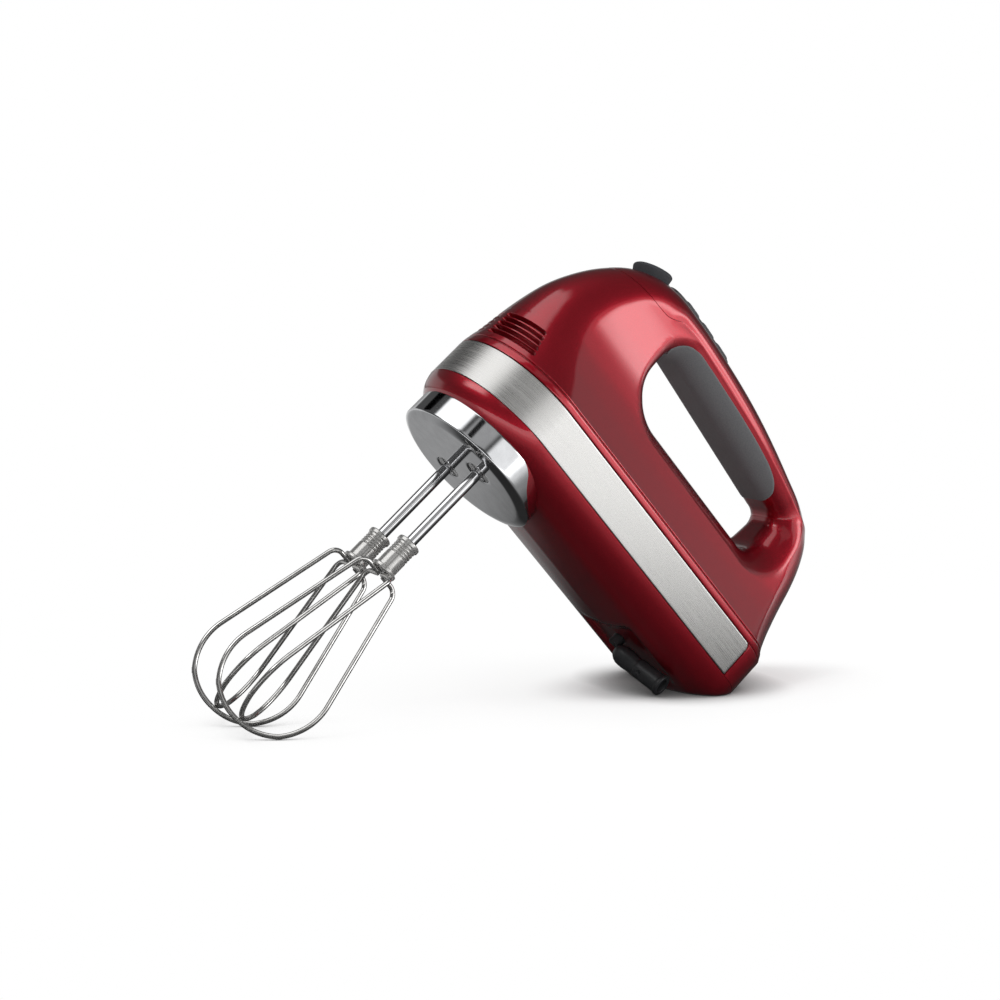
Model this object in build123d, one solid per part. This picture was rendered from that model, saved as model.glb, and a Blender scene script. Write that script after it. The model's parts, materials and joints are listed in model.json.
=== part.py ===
from build123d import *
import math
import os

# Hand mixer with two wire beaters.
# Every piece is drawn upright first: +X towards the back of the mixer, +Z up through the handle,
# +Y to its right, and the origin between the two beater sockets, level with the face of the cap.
# At the end the whole mixer is leaned over, as it stands when it is put down: on the bevelled
# back edge of its housing and on the tips of the beaters. All sizes are in millimetres.

# ---- overall body ------------------------------------------------------------------------------
nose_x = -42.8            # front of the body
tail_x = 177.0            # back of the body
body_half_width = 43.5
tail_corner = 24.0        # plan radius of the two back corners
underside_z = 8.0         # flat underside behind the chrome cap
underside_half_width = 30.0
lip_z = 14.0              # lower edge of the rounded lip, where the chrome cap starts
lip_half_width = 38.5
seam_z = 24.0             # lower and upper housing meet here, at the lower edge of the band
band_height = 20.0
flange_height = 3.5       # upright flange of the upper housing above the band
wall = 2.5
seat_gap = 0.15           # clearance round a piece that sits in an opening
running_gap = 0.05        # radial clearance of a shaft in its bearing
post_radius = 4.0         # screw posts inside the housing
post_gap = 0.5            # between the ends of two screw posts
screw_radius = 1.5
screw_head_radius = 2.8
screw_head_height = 1.8

# ---- handle and the finger opening -------------------------------------------------------------
opening_front = 24.5
opening_back = 137.0
opening_floor = 79.5
opening_height = 31.0
opening_back_drop = 3.5   # the roof of the opening is this much lower at the back
grip_height = 30.5        # from the roof of the opening to the top of the handle
handle_half_width = 18.5
handle_round = 18.0       # how far down the rounded top of the handle reaches
handle_fall = 17.7        # how much lower the top of the handle is at its back end
front_seam_z = 122.5      # front seam of the handle cover
soft_grip_wall = 1.3
soft_grip_start = 26.0
soft_grip_end = 120.0
soft_grip_height = 13.0   # how far the soft grip comes up the side of the handle

# ---- trim band, chrome cap and vents -----------------------------------------------------------
band_thickness = 1.0
band_end_x = 155.0
skirt_wall = 2.0          # housing wall behind the band
cap_wall = 1.6
cap_dish = 2.0            # the flat middle of the cap lies this much below its rim
cap_flat_radius = 33.0
cap_step_start = 3.0      # where the top edge of the cap starts to come down
cap_step_end = 15.0
vent_count = 5
vent_height = 1.9
vent_pitch = 3.2
vent_first_z = 52.6
vent_inner_angle = 3.0
vent_outer_angle = 48.0

# ---- beaters -----------------------------------------------------------------------------------
beater_spacing = 30.8     # between the two beater axes
shaft_radius = 2.75
shaft_insert = 27.0       # length of shaft inside the mixer
collar_top = 46.4         # depths below the beater sockets
collar_bottom = 65.3
collar_radius = 5.4
collar_lip_radius = 6.6
collar_lip = 2.2
collar_groove = 0.7
collar_grooves = 4
wire_radius = 1.2
cage_bottom = 160.5
cage_radius = 28.4
shoulder_radius = 12.5
shoulder_bend = 5.0
cage_twist = -39.0        # how far an arm turns about the beater between shoulder and bottom
left_phase = 4.0
right_phase = 5.0
wing_span = 11.0
wing_thickness = 1.0
wing_length = 5.0
socket_gap = 0.3          # clearance of the wings in the spindle slots
weld_radius = 2.2         # where a wire starts, under the collar
weld_gap = 0.1

# ---- drive -------------------------------------------------------------------------------------
motor_z = 42.0            # height of the motor axis
gear_module = 0.8
wheel_teeth = 28
worm_starts = 2
wheel_face = 5.0
worm_length = 16.0
tooth_thickness = 0.7
motor_shaft_radius = 2.4
motor_shaft_front = -23.0
motor_shaft_back = 119.0
spindle_radius = 5.0
spindle_bottom = 0.6
spindle_top = 60.0
foot_radius = 6.4
foot_height = 9.0
foot_gap = 0.5            # round the foot of a spindle, in the cap and the housing
bushing_radius = 6.8
bushing_height = 6.0
box_bottom = 20.0         # gear case
box_split = 57.0
box_lid = 2.4
box_wall = 2.0
box_radius = 14.6
box_nose = 24.5           # how far the shaft bosses reach, in front and behind
box_tail = 32.0
case_ear_x = 11.0
case_ear_y = 26.7
case_ear_radius = 3.2
core_start = 58.0
core_length = 26.0
armature_radius = 14.5
air_gap = 0.6
armature_slots = 12
slot_width = 3.4
slot_floor_radius = 8.0
stator_half_width = 26.0
stator_half_height = 23.0
coil_low = 14.0           # a field coil, from the motor axis
coil_height = 6.0
coil_inner = 17.0
coil_outer = 22.0
fan_x = 38.0
fan_radius = 20.0
fan_blades = 9
fan_depth = 9.0
commutator_start = 95.0
commutator_length = 10.0
commutator_radius = 7.5
commutator_bars = 24
brush_width = 4.0
brush_length = 8.0
holder_wall = 2.0
holder_length = 13.0
bearing_length = 7.0
bearing_radius = 7.0
bracket_x = 108.0
bracket_thickness = 3.0
bracket_half_width = 22.0
board_x = 134.0
board_thickness = 1.6
board_half_width = 19.0
board_top = 58.0
fin_count = 7
sink_half_width = 12.5

# ---- controls ----------------------------------------------------------------------------------
eject_front = -14.0
eject_back = 7.5
eject_half_width = 8.5
eject_top = 142.8         # middle of its domed top
eject_slope = 28.0        # it leans forward with the slope of the nose
eject_dome = 24.0         # radius of its top
eject_travel = 6.0
panel_start = 9.0
panel_end = 60.0
panel_half_width = 9.0
panel_proud = 1.2
panel_thickness = 3.6
button_starts = (20.5, 34.0, 47.0)
button_length = 11.5
button_half_width = 6.5
button_proud = 1.6
button_travel = 1.0
window_start = 11.0
window_length = 7.5

# ---- cord gland --------------------------------------------------------------------------------
gland_x = 123.0
gland_pivot_radius = 4.8
gland_head_radius = 6.0
gland_axis_z = 2.2
gland_length = 34.0
gland_barrel_radius = 5.0
gland_bore_radius = 3.5
gland_rest_angle = 53.0   # off straight back, towards the left side
gland_droop = 2.0
gland_rim = 2.0
recess_start = 115.5
recess_end = 150.0
recess_depth = 2.5

# ---- how it stands -----------------------------------------------------------------------------
heel_x = 163.2            # a point on the bevel at the back edge that it stands on
heel_z = 15.8

nose_centre_x = nose_x + body_half_width
band_top = seam_z + band_height
flange_top = band_top + flange_height
opening_roof = opening_floor + opening_height
crown_z = opening_roof + grip_height
half_spacing = beater_spacing / 2
nodes = {}


def box(x, y, z):
    """A block between two values on each axis."""
    return Pos((x[0] + x[1]) / 2, (y[0] + y[1]) / 2, (z[0] + z[1]) / 2) * Box(
        x[1] - x[0], y[1] - y[0], z[1] - z[0])


def upright(x, y, z0, z1, radius):
    """A round bar along Z."""
    return Pos(x, y, (z0 + z1) / 2) * Cylinder(radius, z1 - z0)


def along_x(y, z, x0, x1, radius):
    """A round bar along X."""
    return Pos((x0 + x1) / 2, y, z) * Rot(0, 90, 0) * Cylinder(radius, x1 - x0)


def side_prism(outline, half_width=70.0):
    """A side-view outline (x, z points) pushed out to both sides."""
    with BuildSketch(Plane.XZ) as drawn:
        with BuildLine():
            Polyline(*outline, close=True)
        make_face()
    return extrude(drawn.sketch, amount=half_width, both=True)


def bullet(z, nose, tail, half_width, corner):
    """Plan outline at one height: a round nose, straight sides and rounded back corners."""
    corner = min(corner, half_width * 0.9)
    with BuildSketch(Plane.XY.offset(z)) as drawn:
        with BuildLine():
            ThreePointArc((nose + half_width, half_width), (nose, 0), (nose + half_width, -half_width))
            Line((nose + half_width, -half_width), (tail - corner, -half_width))
            RadiusArc((tail - corner, -half_width), (tail, corner - half_width), -corner)
            Line((tail, corner - half_width), (tail, half_width - corner))
            RadiusArc((tail, half_width - corner), (tail - corner, half_width), -corner)
            Line((tail - corner, half_width), (nose + half_width, half_width))
        make_face()
    return drawn.sketch


# ---- outer forms -------------------------------------------------------------------------------
# Each station of the upper form: share of the height from flange to crown, how far nose and tail
# come in, and the share of the width between handle and body that is left.
upper_stations = (
    (0.00, 0.6, 1.0, 0.93, 24.0),
    (0.08, 1.5, 2.6, 0.78, 23.0),
    (0.20, 2.8, 3.8, 0.55, 22.0),
    (0.33, 4.2, 4.6, 0.33, 20.0),
    (0.48, 7.2, 6.6, 0.16, 18.0),
    (0.63, 13.3, 11.0, 0.06, 16.0),
    (0.79, 22.5, 18.0, 0.02, 15.0),
    (0.94, 36.0, 27.0, 0.00, 14.0),
    (1.09, 52.0, 37.0, 0.00, 13.0),
)


def upper_section(station, inset):
    share, nose_in, tail_in, spread, corner = station
    half = handle_half_width + (body_half_width - handle_half_width) * spread - inset
    return bullet(flange_top + share * (crown_z - flange_top), nose_x + nose_in + inset,
                  tail_x - tail_in - inset, half, max(corner - inset, 3))


def crown_line(inset):
    """Side view of the top of the mixer, from in front of the nose to behind the tail."""
    return Spline((nose_x - 10, crown_z - 42 - inset), (nose_x + 26, crown_z - 8.5 - inset),
                  (nose_x + 52, crown_z - inset), (nose_x + 95, crown_z - 0.5 - inset),
                  (opening_back - 45, crown_z - 4.2 - inset), (opening_back - 13, crown_z - 10.7 - inset),
                  (opening_back + 14, crown_z - handle_fall - inset),
                  (tail_x - 7, crown_z - 37 - inset), (tail_x + 10, crown_z - 70 - inset))


def above_crown(inset):
    """Everything above the rounded top of the handle, to cut the form with."""
    with BuildLine(Plane.XZ) as line:
        crown_line(inset)
    path = line.wire()
    plane = Plane(origin=path @ 0, x_dir=(0, 1, 0), z_dir=path % 0)
    up = 1 if plane.y_dir.Z > 0 else -1
    half = handle_half_width + 1.5 - inset
    arch = [(half * math.sin(math.radians(a)), -up * handle_round * (1 - math.cos(math.radians(a))))
            for a in range(-75, 76, 15)]
    with BuildSketch(plane) as drawn:
        with BuildLine():
            Spline((-half, -up * handle_round), *arch, (half, -up * handle_round))
            Polyline((half, -up * handle_round), (half + 20, -up * handle_round), (half + 20, up * 14),
                     (-half - 20, up * 14), (-half - 20, -up * handle_round), (-half, -up * handle_round))
        make_face()
    return sweep(drawn.sketch, path=path)


def crown_prism(inset):
    """Side-view outline of the mixer under the crown line."""
    low = band_top - 2
    with BuildSketch(Plane.XZ) as drawn:
        with BuildLine():
            line = crown_line(inset)
            Polyline(line @ 1, (tail_x + 10, low), (nose_x - 10, low), line @ 0)
        make_face()
    return extrude(drawn.sketch, amount=70, both=True)


def opening(grow):
    """The finger opening, grown by a wall when it is cut from the inside form."""
    front, back = opening_front - grow, opening_back + grow
    low, high = opening_floor - grow, opening_roof + grow
    with BuildSketch(Plane.XZ) as drawn:
        with BuildLine():
            FilletPolyline((front, low), (back, low), (back, high - opening_back_drop),
                           (front, high + opening_back_drop), close=True,
                           radius=(22 + grow, 14 + grow, 7 + grow, 9 + grow))
        make_face()
    return extrude(drawn.sketch, amount=70, both=True)


def upper_form(inset):
    """The upper body with its handle; inset gives the inside of a wall that thick."""
    dome = loft([upper_section(s, inset) for s in upper_stations])
    dome = (dome & crown_prism(inset)) - above_crown(inset)
    flange = extrude(bullet(band_top, nose_x + inset, tail_x - inset, body_half_width - inset,
                            tail_corner - inset), amount=flange_height)
    return flange + dome - opening(inset)


def skirt_form(inset):
    """The part of the upper housing beside the band."""
    return extrude(bullet(seam_z, nose_x + inset, tail_x - inset, body_half_width - inset,
                          tail_corner - inset), amount=band_height)


def lower_form(inset):
    """The lower housing: flat underside, slanted sides and the rounded lip under the band."""
    middle = (lip_z + seam_z) / 2
    tail = tail_x - inset
    levels = ((underside_z + inset, underside_half_width, 8.5), (lip_z, lip_half_width, 5.0),
              (middle, (lip_half_width + 2 * body_half_width) / 3, 1.6),
              (seam_z, body_half_width, 0.0))
    return loft([bullet(z, nose_centre_x - half + inset, tail - back, half - inset,
                        max(tail_corner - inset - back, 4)) for z, half, back in levels])


def beyond_heel(inset):
    """The space behind the bevelled back edge; inset moves the bevel into the body."""
    lean = math.radians(stand_angle)
    out = (math.sin(lean), -math.cos(lean))
    along = (math.cos(lean), math.sin(lean))
    middle = (heel_x - inset * out[0], heel_z - inset * out[1])
    low = (middle[0] - 60 * along[0], middle[1] - 60 * along[1])
    high = (middle[0] + 60 * along[0], middle[1] + 60 * along[1])
    return side_prism([low, high, (high[0] + 80 * out[0], high[1] + 80 * out[1]),
                       (low[0] + 80 * out[0], low[1] + 80 * out[1])])


# ---- beater wires and the angle it stands at ---------------------------------------------------
def around(radius, angle, z, side):
    """A point at a radius and an angle in degrees about one beater axis; side is -1 or 1."""
    turn = math.radians(angle)
    return (radius * math.cos(turn), side * half_spacing + radius * math.sin(turn), z)


def loop_path(side, phase, lift):
    """One wire loop: out under the collar, down and outwards, round the bottom and back up."""
    top = -collar_bottom - wire_radius - weld_gap
    bottom = -cage_bottom + wire_radius + lift * (2 * wire_radius + weld_gap)
    share = math.tan(math.pi / 8)
    bend = 0.95 * cage_radius
    turned = phase + cage_twist
    return FilletPolyline(
        around(weld_radius, phase, top, side), around(shoulder_radius, phase, top, side),
        around(cage_radius, turned, bottom + (1 - share) * cage_radius, side),
        around(share * cage_radius, turned, bottom, side),
        around(-share * cage_radius, turned, bottom, side),
        around(-cage_radius, turned, bottom + (1 - share) * cage_radius, side),
        around(-shoulder_radius, phase, top, side), around(-weld_radius, phase, top, side),
        radius=(shoulder_bend, bend, bend, bend, bend, shoulder_bend))


beaters = (("left", -1, left_phase), ("right", 1, right_phase))
loops = (("a", 0, 0), ("b", 90, 1))
wire_points = []
for name, side, phase in beaters:
    for loop, turn, lift in loops:
        path = loop_path(side, phase + turn, lift)
        wire_points += [path @ (i / 300) for i in range(301)]


def floor_depth(angle):
    """How far below the origin the lowest wire lies when the mixer leans back by the angle."""
    lean = math.radians(angle)
    return max(p.X * math.sin(lean) - p.Z * math.cos(lean) for p in wire_points) + wire_radius


def heel_depth(angle):
    lean = math.radians(angle)
    return heel_x * math.sin(lean) - heel_z * math.cos(lean)


# The mixer stands on the bevel and on the lowest wires at once; this finds the angle.
low_angle, high_angle = 20.0, 80.0
while high_angle - low_angle > 1e-7:
    stand_angle = (low_angle + high_angle) / 2
    if heel_depth(stand_angle) < floor_depth(stand_angle):
        low_angle = stand_angle
    else:
        high_angle = stand_angle
print("stands at", round(stand_angle, 4), "degrees")

# ---- housings ----------------------------------------------------------------------------------
outer_form = upper_form(0)
shell = outer_form - upper_form(wall)
cover_zone = side_prism([
    (nose_x - 5, front_seam_z), (opening_front - 8.5, front_seam_z), (opening_front - 2, crown_z - 12),
    (opening_front + 26, crown_z - 12.2), (opening_back - 46, crown_z - 15.4),
    (opening_back - 13, crown_z - 19.5), (opening_back + 2, crown_z - 22.5),
    (opening_back + 23, crown_z - 24.5), (tail_x + 20, crown_z - 24.5), (tail_x + 20, crown_z + 10),
    (nose_x - 5, crown_z + 10)])
grip_top = opening_roof + soft_grip_height + 2.3
grip_zone = side_prism([
    (soft_grip_start, opening_roof - 9), (soft_grip_start + 1, opening_roof + 5),
    (soft_grip_start + 3.5, opening_roof + 9.5), (soft_grip_start + 11, grip_top),
    (soft_grip_start + 36, grip_top - 0.8), (soft_grip_end - 35, grip_top - 2.5),
    (soft_grip_end - 20, grip_top - 4.3), (soft_grip_end - 6, grip_top - 7.3),
    (soft_grip_end + 0.5, opening_roof + 2.5), (soft_grip_end - 1, opening_roof - 9)])
soft_grip = (outer_form - upper_form(soft_grip_wall)) & grip_zone


def crown_slab(proud, sunk, x0, x1, half):
    """A strip of the handle's top, from proud above its surface to sunk below it."""
    column = box((x0, x1), (-half, half), (opening_roof + 4, crown_z + 12))
    above = crown_prism(-proud) - above_crown(-proud)
    return (above - (crown_prism(sunk) - above_crown(sunk))) & column


def pill(x0, x1, half, z0, z1):
    """An upright block with round ends, seen from above."""
    with BuildSketch(Plane.XY.offset(z0)) as drawn:
        with Locations(((x0 + x1) / 2, 0)):
            SlotOverall(x1 - x0, 2 * half)
    return extrude(drawn.sketch, amount=z1 - z0)


def nose_sector(first, last, z, height):
    """A sector in front of the nose, between two angles from straight ahead."""
    reach = 2 * body_half_width
    corners = [(nose_centre_x - reach * math.cos(math.radians(a)), reach * math.sin(math.radians(a)))
               for a in (first, (first + last) / 2, last)]
    with BuildSketch(Plane.XY.offset(z)) as drawn:
        with BuildLine():
            Polyline((nose_centre_x, 0), *corners, close=True)
        make_face()
    return extrude(drawn.sketch, amount=height)


def skirt_ring(outer, inner):
    return skirt_form(outer) - skirt_form(inner)


band_inner = band_thickness + skirt_wall
band_zone = box((nose_x - 1, band_end_x), (-70, 70), (seam_z, band_top))
upper_housing = (shell - cover_zone - soft_grip) + (
    skirt_ring(0, band_inner) - (skirt_ring(0, band_thickness) & band_zone))
upper_housing += skirt_form(0) & beyond_heel(wall)
upper_housing -= beyond_heel(0)
for i in range(vent_count):
    for side in (-1, 1):
        upper_housing -= nose_sector(side * vent_inner_angle, side * vent_outer_angle,
                                     vent_first_z + i * vent_pitch, vent_height)

# Screw posts: two in the nose and two at the tail, in both housings, each with a rib to a wall above.
front_post = (nose_centre_x - 30, 11.0)
rear_post = (146.0, 18.0)
for side in (-1, 1):
    y = side * front_post[1]
    rib = box((nose_x + 1.5 * band_inner, front_post[0]), (y - 1, y + 1), (seam_z + 4, band_top))
    upper_housing += (upright(front_post[0], y, seam_z + post_gap, band_top, post_radius) + rib
                      - upright(front_post[0], y, seam_z, band_top - 4, screw_radius))
    y = side * rear_post[1]
    rib = box((rear_post[0], tail_x - band_inner / 2), (y - 1, y + 1), (seam_z + 10, band_top))
    upper_housing += (upright(rear_post[0], y, seam_z + post_gap, band_top, post_radius) + rib
                      - upright(rear_post[0], y, seam_z, band_top - 4, screw_radius))

# Two posts inside the handle carry the control board.
board_front = panel_start + 3
board_back = panel_end + 2
control_board_z = crown_z - 15.5
for x in (opening_front + 10, board_back - 4):
    share = (x - opening_front) / (opening_back - opening_front)
    roof = opening_roof + opening_back_drop * (1 - 2 * share)
    upper_housing += upright(x, 0, roof + 0.8 * wall, control_board_z, post_radius / 2)
nodes["upper_housing"] = upper_housing
nodes["soft_grip"] = soft_grip

panel_hole = box((panel_start - seat_gap, panel_end + seat_gap),
                 (-panel_half_width - seat_gap, panel_half_width + seat_gap),
                 (opening_roof + 4, crown_z + 12))
eject_hole = pill(eject_front - foot_gap, eject_back + foot_gap, eject_half_width + foot_gap,
                  front_seam_z - 10, crown_z + 12)
nodes["handle_cover"] = (shell & cover_zone) - panel_hole - eject_hole

nodes["trim_band"] = skirt_ring(0, band_thickness - seat_gap) & box(
    (nose_x - 1, band_end_x - seat_gap), (-70, 70), (seam_z + seat_gap, band_top - seat_gap))


# ---- chrome cap and lower housing --------------------------------------------------------------
def cup(inset):
    """The round cup under the nose, filled; inset gives the space inside a wall that thick."""
    with BuildSketch(Plane.XZ) as drawn:
        with BuildLine():
            Polyline((0, inset), (cap_flat_radius, inset), (lip_half_width - inset, cap_dish + inset),
                     (lip_half_width - inset, lip_z), (0, lip_z), close=True)
        make_face()
    return Pos(nose_centre_x, 0, 0) * revolve(drawn.sketch, axis=Axis.Z)


def cap_side(gap):
    """Side view of the cap: high round the nose, stepping down to a low rim behind the beaters."""
    low = cap_dish + 0.4
    with BuildSketch(Plane.XZ) as drawn:
        with BuildLine():
            Polyline((nose_x - 5, -1), (nose_x - 5, lip_z - seat_gap + gap),
                     (cap_step_start + gap, lip_z - seat_gap + gap))
            Spline((cap_step_start + gap, lip_z - seat_gap + gap), (cap_step_end + gap, 6.2 + gap),
                   (nose_centre_x + lip_half_width + 2, low + gap), tangents=((1, 0), (1, 0)))
            Polyline((nose_centre_x + lip_half_width + 2, low + gap),
                     (nose_centre_x + lip_half_width + 2, -1), (nose_x - 5, -1))
        make_face()
    return extrude(drawn.sketch, amount=70, both=True)


foot_hole = foot_radius + foot_gap
front_cap = (cup(0) - cup(cap_wall)) & cap_side(0)
cap_seat = (cup(0) - cup(cap_wall + seat_gap)) & cap_side(seat_gap)
boss_floor = cap_wall + seat_gap + wall
lower_solid = lower_form(0) + cup(0)
lower_space = lower_form(wall) + upright(nose_centre_x, 0, boss_floor, lip_z + wall,
                                         lip_half_width - cap_wall - seat_gap - wall)
recess_roof = underside_z + recess_depth
lower_space -= box((recess_start - wall, recess_end + wall), (-70, 70), (0, recess_roof + wall))
lower_space -= beyond_heel(wall)
lower_housing = lower_solid - lower_space - cap_seat - beyond_heel(0)
lower_housing -= box((recess_start, recess_end), (-underside_half_width, underside_half_width),
                     (0, recess_roof))
for side in (-1, 1):
    y = side * half_spacing
    front_cap -= upright(0, y, -1, lip_z, foot_hole)
    lower_housing -= upright(0, y, 0, lip_z, foot_hole)
    y = side * front_post[1]
    lower_housing += upright(front_post[0], y, boss_floor - 0.5, seam_z, post_radius)
    lower_housing -= upright(front_post[0], y, 0, seam_z + 1, screw_radius + seat_gap)
    lower_housing -= upright(front_post[0], y, 0, boss_floor + 2, screw_head_radius + seat_gap)
    y = side * rear_post[1]
    lower_housing += upright(rear_post[0], y, recess_roof + 0.5, seam_z, post_radius)
    lower_housing -= upright(rear_post[0], y, 0, seam_z + 1, screw_radius + seat_gap)
    lower_housing -= upright(rear_post[0], y, 0, recess_roof + 2, screw_head_radius + seat_gap)
    for x in (-case_ear_x, case_ear_x):
        lower_housing += upright(x, side * case_ear_y, boss_floor - 0.5, box_bottom, case_ear_radius)
nodes["front_cap"] = front_cap

# Ribs that carry the motor, the board behind it and the collar of the cord gland.
inner_floor = underside_z + wall
core_ribs = (core_start + 2, core_start + core_length - 6)
for x in core_ribs:
    lower_housing += box((x, x + 4), (-coil_inner, coil_inner),
                         (inner_floor - 0.5, motor_z - stator_half_height))
for side in (-1, 1):
    rib = box((board_x - 2, board_x + board_thickness + 2),
              (side * (board_half_width - 2) - 1.5, side * (board_half_width - 2) + 1.5),
              (inner_floor + 1, inner_floor + 8))
    slot = box((board_x - seat_gap, board_x + board_thickness + seat_gap), (-30, 30),
               (inner_floor + 4, inner_floor + 9))
    lower_housing += rib - slot
gland_boss_top = recess_roof + wall + 4
gland_hole = gland_pivot_radius + running_gap
lower_housing += upright(gland_x, 0, recess_roof + 0.5, gland_boss_top, gland_pivot_radius + wall)
lower_housing -= upright(gland_x, 0, 0, gland_boss_top + 1, gland_hole)
nodes["lower_housing"] = lower_housing

screws = []
for x, y, head_z in ((*front_post, boss_floor + 2), (*rear_post, recess_roof + 2)):
    for side in (-1, 1):
        shank = upright(x, side * y, head_z - screw_head_height / 2, band_top - 5,
                        screw_radius - seat_gap / 2)
        screws.append(shank + upright(x, side * y, head_z - screw_head_height, head_z, screw_head_radius))
nodes["housing_screws"] = Compound(children=screws)

# ---- controls on the handle --------------------------------------------------------------------
button_inner = panel_thickness - panel_proud
panel = crown_slab(panel_proud, button_inner, panel_start, panel_end, panel_half_width)
window_end = window_start + window_length
window_half = button_half_width
nodes["display_window"] = crown_slab(panel_proud, 0.2, window_start, window_end, window_half)
panel -= crown_slab(panel_proud + 1, 0.2 + seat_gap, window_start - seat_gap, window_end + seat_gap,
                    window_half + seat_gap)
button_gap = 0.3
switch_top = control_board_z + 1.6 + 4.0
for name, x in zip(("power_button", "speed_down_button", "speed_up_button"), button_starts):
    end = x + button_length
    head = crown_slab(panel_proud + button_proud, button_inner + 1, x, end, button_half_width)
    flange_top_sunk = button_inner + button_gap
    flange = crown_slab(-flange_top_sunk, flange_top_sunk + 1.2, x - 0.7, end + 0.7, button_half_width + 0.9)
    middle = (x + end) / 2
    stem = upright(middle, 0, switch_top + button_travel + 0.2, crown_z - button_inner, 2.0)
    nodes[name] = head + flange + stem
    panel -= box((x - button_gap, end + button_gap), (-button_half_width - button_gap,
                 button_half_width + button_gap), (opening_roof + 4, crown_z + 12))
nodes["control_panel"] = panel
board = box((board_front, board_back), (-8, 8), (control_board_z, control_board_z + 1.6))
nodes["control_board"] = board
nodes["button_switches"] = Compound(children=[
    box((x + button_length / 2 - 3, x + button_length / 2 + 3), (-3, 3), (control_board_z + 1.6, switch_top))
    for x in button_starts])

# ---- eject button and the rod that pushes the beaters out --------------------------------------
eject_middle = (eject_front + eject_back) / 2
eject_foot = front_seam_z + 1.5
dome = Pos(eject_middle, 0, eject_top) * Rot(0, -eject_slope, 0) * Pos(0, 0, -eject_dome) * Sphere(eject_dome)
nodes["eject_button"] = pill(eject_front, eject_back, eject_half_width, eject_foot, crown_z + 12) & dome
plate_bottom = spindle_top + eject_travel + 1.5
pin_radius = shaft_radius - 0.5
rod = upright(0, 0, plate_bottom, eject_foot + 3, 3.0) + box((-5, 5), (-half_spacing - 4, half_spacing + 4),
                                                            (plate_bottom, plate_bottom + 3))
for side in (-1, 1):
    rod += upright(0, side * half_spacing, shaft_insert + 0.3, plate_bottom + 1, pin_radius)
nodes["eject_button"] -= upright(0, 0, eject_foot - 1, eject_foot + 3.2, 3.0 + seat_gap)
nodes["ejector_rod"] = rod


# ---- gear case ---------------------------------------------------------------------------------
def case_plan(z0, z1, radius):
    """Both wheel pockets and the space between them."""
    with BuildSketch(Plane.XY.offset(z0)) as drawn:
        SlotCenterToCenter(beater_spacing, 2 * radius, rotation=90)
    return extrude(drawn.sketch, amount=z1 - z0)


ears = [(x, side * case_ear_y) for x in (-case_ear_x, case_ear_x) for side in (-1, 1)]
case_floor = box_bottom + box_wall
lid_top = box_split + box_lid
bush_hole = bushing_radius + running_gap
bush_boss = bushing_radius + box_wall
case_top_z = lid_top - bushing_height
gear_case = case_plan(box_bottom, box_split, box_radius)
gear_lid = case_plan(box_split, lid_top, box_radius)
for x, y in ears:
    gear_case += upright(x, y, box_bottom, box_split, case_ear_radius)
    gear_lid += upright(x, y, box_split, lid_top, case_ear_radius)
gear_case += along_x(0, motor_z, -box_nose, 0, post_radius + box_wall)
gear_case += along_x(0, motor_z, 0, box_tail, bearing_radius + box_wall)
gear_case -= case_plan(case_floor, box_split + 1, box_radius - box_wall)
gear_case -= along_x(0, motor_z, -box_nose - 1, box_tail + 1, motor_shaft_radius + 0.6)
gear_case -= along_x(0, motor_z, -box_nose - 1, -box_nose + bushing_height, post_radius + running_gap)
gear_case -= along_x(0, motor_z, box_tail - bearing_length, box_tail + 1, bearing_radius + running_gap)
gear_screws = []
for x, y in ears:
    gear_case -= upright(x, y, box_split - 12, box_split + 1, screw_radius)
    gear_lid -= upright(x, y, box_split - 1, lid_top + 1, screw_radius + seat_gap)
    shank = upright(x, y, box_split - 11, lid_top + 0.5, screw_radius - seat_gap / 2)
    gear_screws.append(shank + upright(x, y, lid_top, lid_top + screw_head_height, screw_head_radius))
bushings = []
for side in (-1, 1):
    y = side * half_spacing
    gear_case += upright(0, y, box_bottom, box_bottom + bushing_height, bush_boss)
    gear_case -= upright(0, y, box_bottom - 1, box_bottom + bushing_height + 1, bush_hole)
    gear_lid += upright(0, y, case_top_z, lid_top, bush_boss)
    gear_lid -= upright(0, y, case_top_z - 1, lid_top + 1, bush_hole)
    for z in (box_bottom, case_top_z):
        ring = upright(0, y, z, z + bushing_height, bushing_radius)
        bushings.append(ring - upright(0, y, z - 1, z + bushing_height + 1, spindle_radius + running_gap))
nodes["gear_case"] = gear_case
nodes["gear_case_lid"] = gear_lid
nodes["gear_case_screws"] = Compound(children=gear_screws)
nodes["spindle_bushings"] = Compound(children=bushings)


# ---- motor -------------------------------------------------------------------------------------
def ring_x(x0, x1, outer, inner):
    return along_x(0, motor_z, x0, x1, outer) - along_x(0, motor_z, x0 - 1, x1 + 1, inner)


shaft_hole = motor_shaft_radius + running_gap
nodes["front_bushing"] = ring_x(-box_nose, -box_nose + bushing_height, post_radius, shaft_hole)
nodes["front_bearing"] = ring_x(box_tail - bearing_length, box_tail, bearing_radius, shaft_hole)
nodes["rear_bearing"] = ring_x(bracket_x, bracket_x + bearing_length, bearing_radius, shaft_hole)
bracket = box((bracket_x, bracket_x + bracket_thickness), (-bracket_half_width, bracket_half_width),
              (inner_floor, motor_z + stator_half_height - 4))
bracket += along_x(0, motor_z, bracket_x, bracket_x + bearing_length, bearing_radius + box_wall)
bracket -= along_x(0, motor_z, bracket_x - 1, bracket_x + bearing_length + 1, bearing_radius + running_gap)
nodes["rear_bracket"] = bracket

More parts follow.
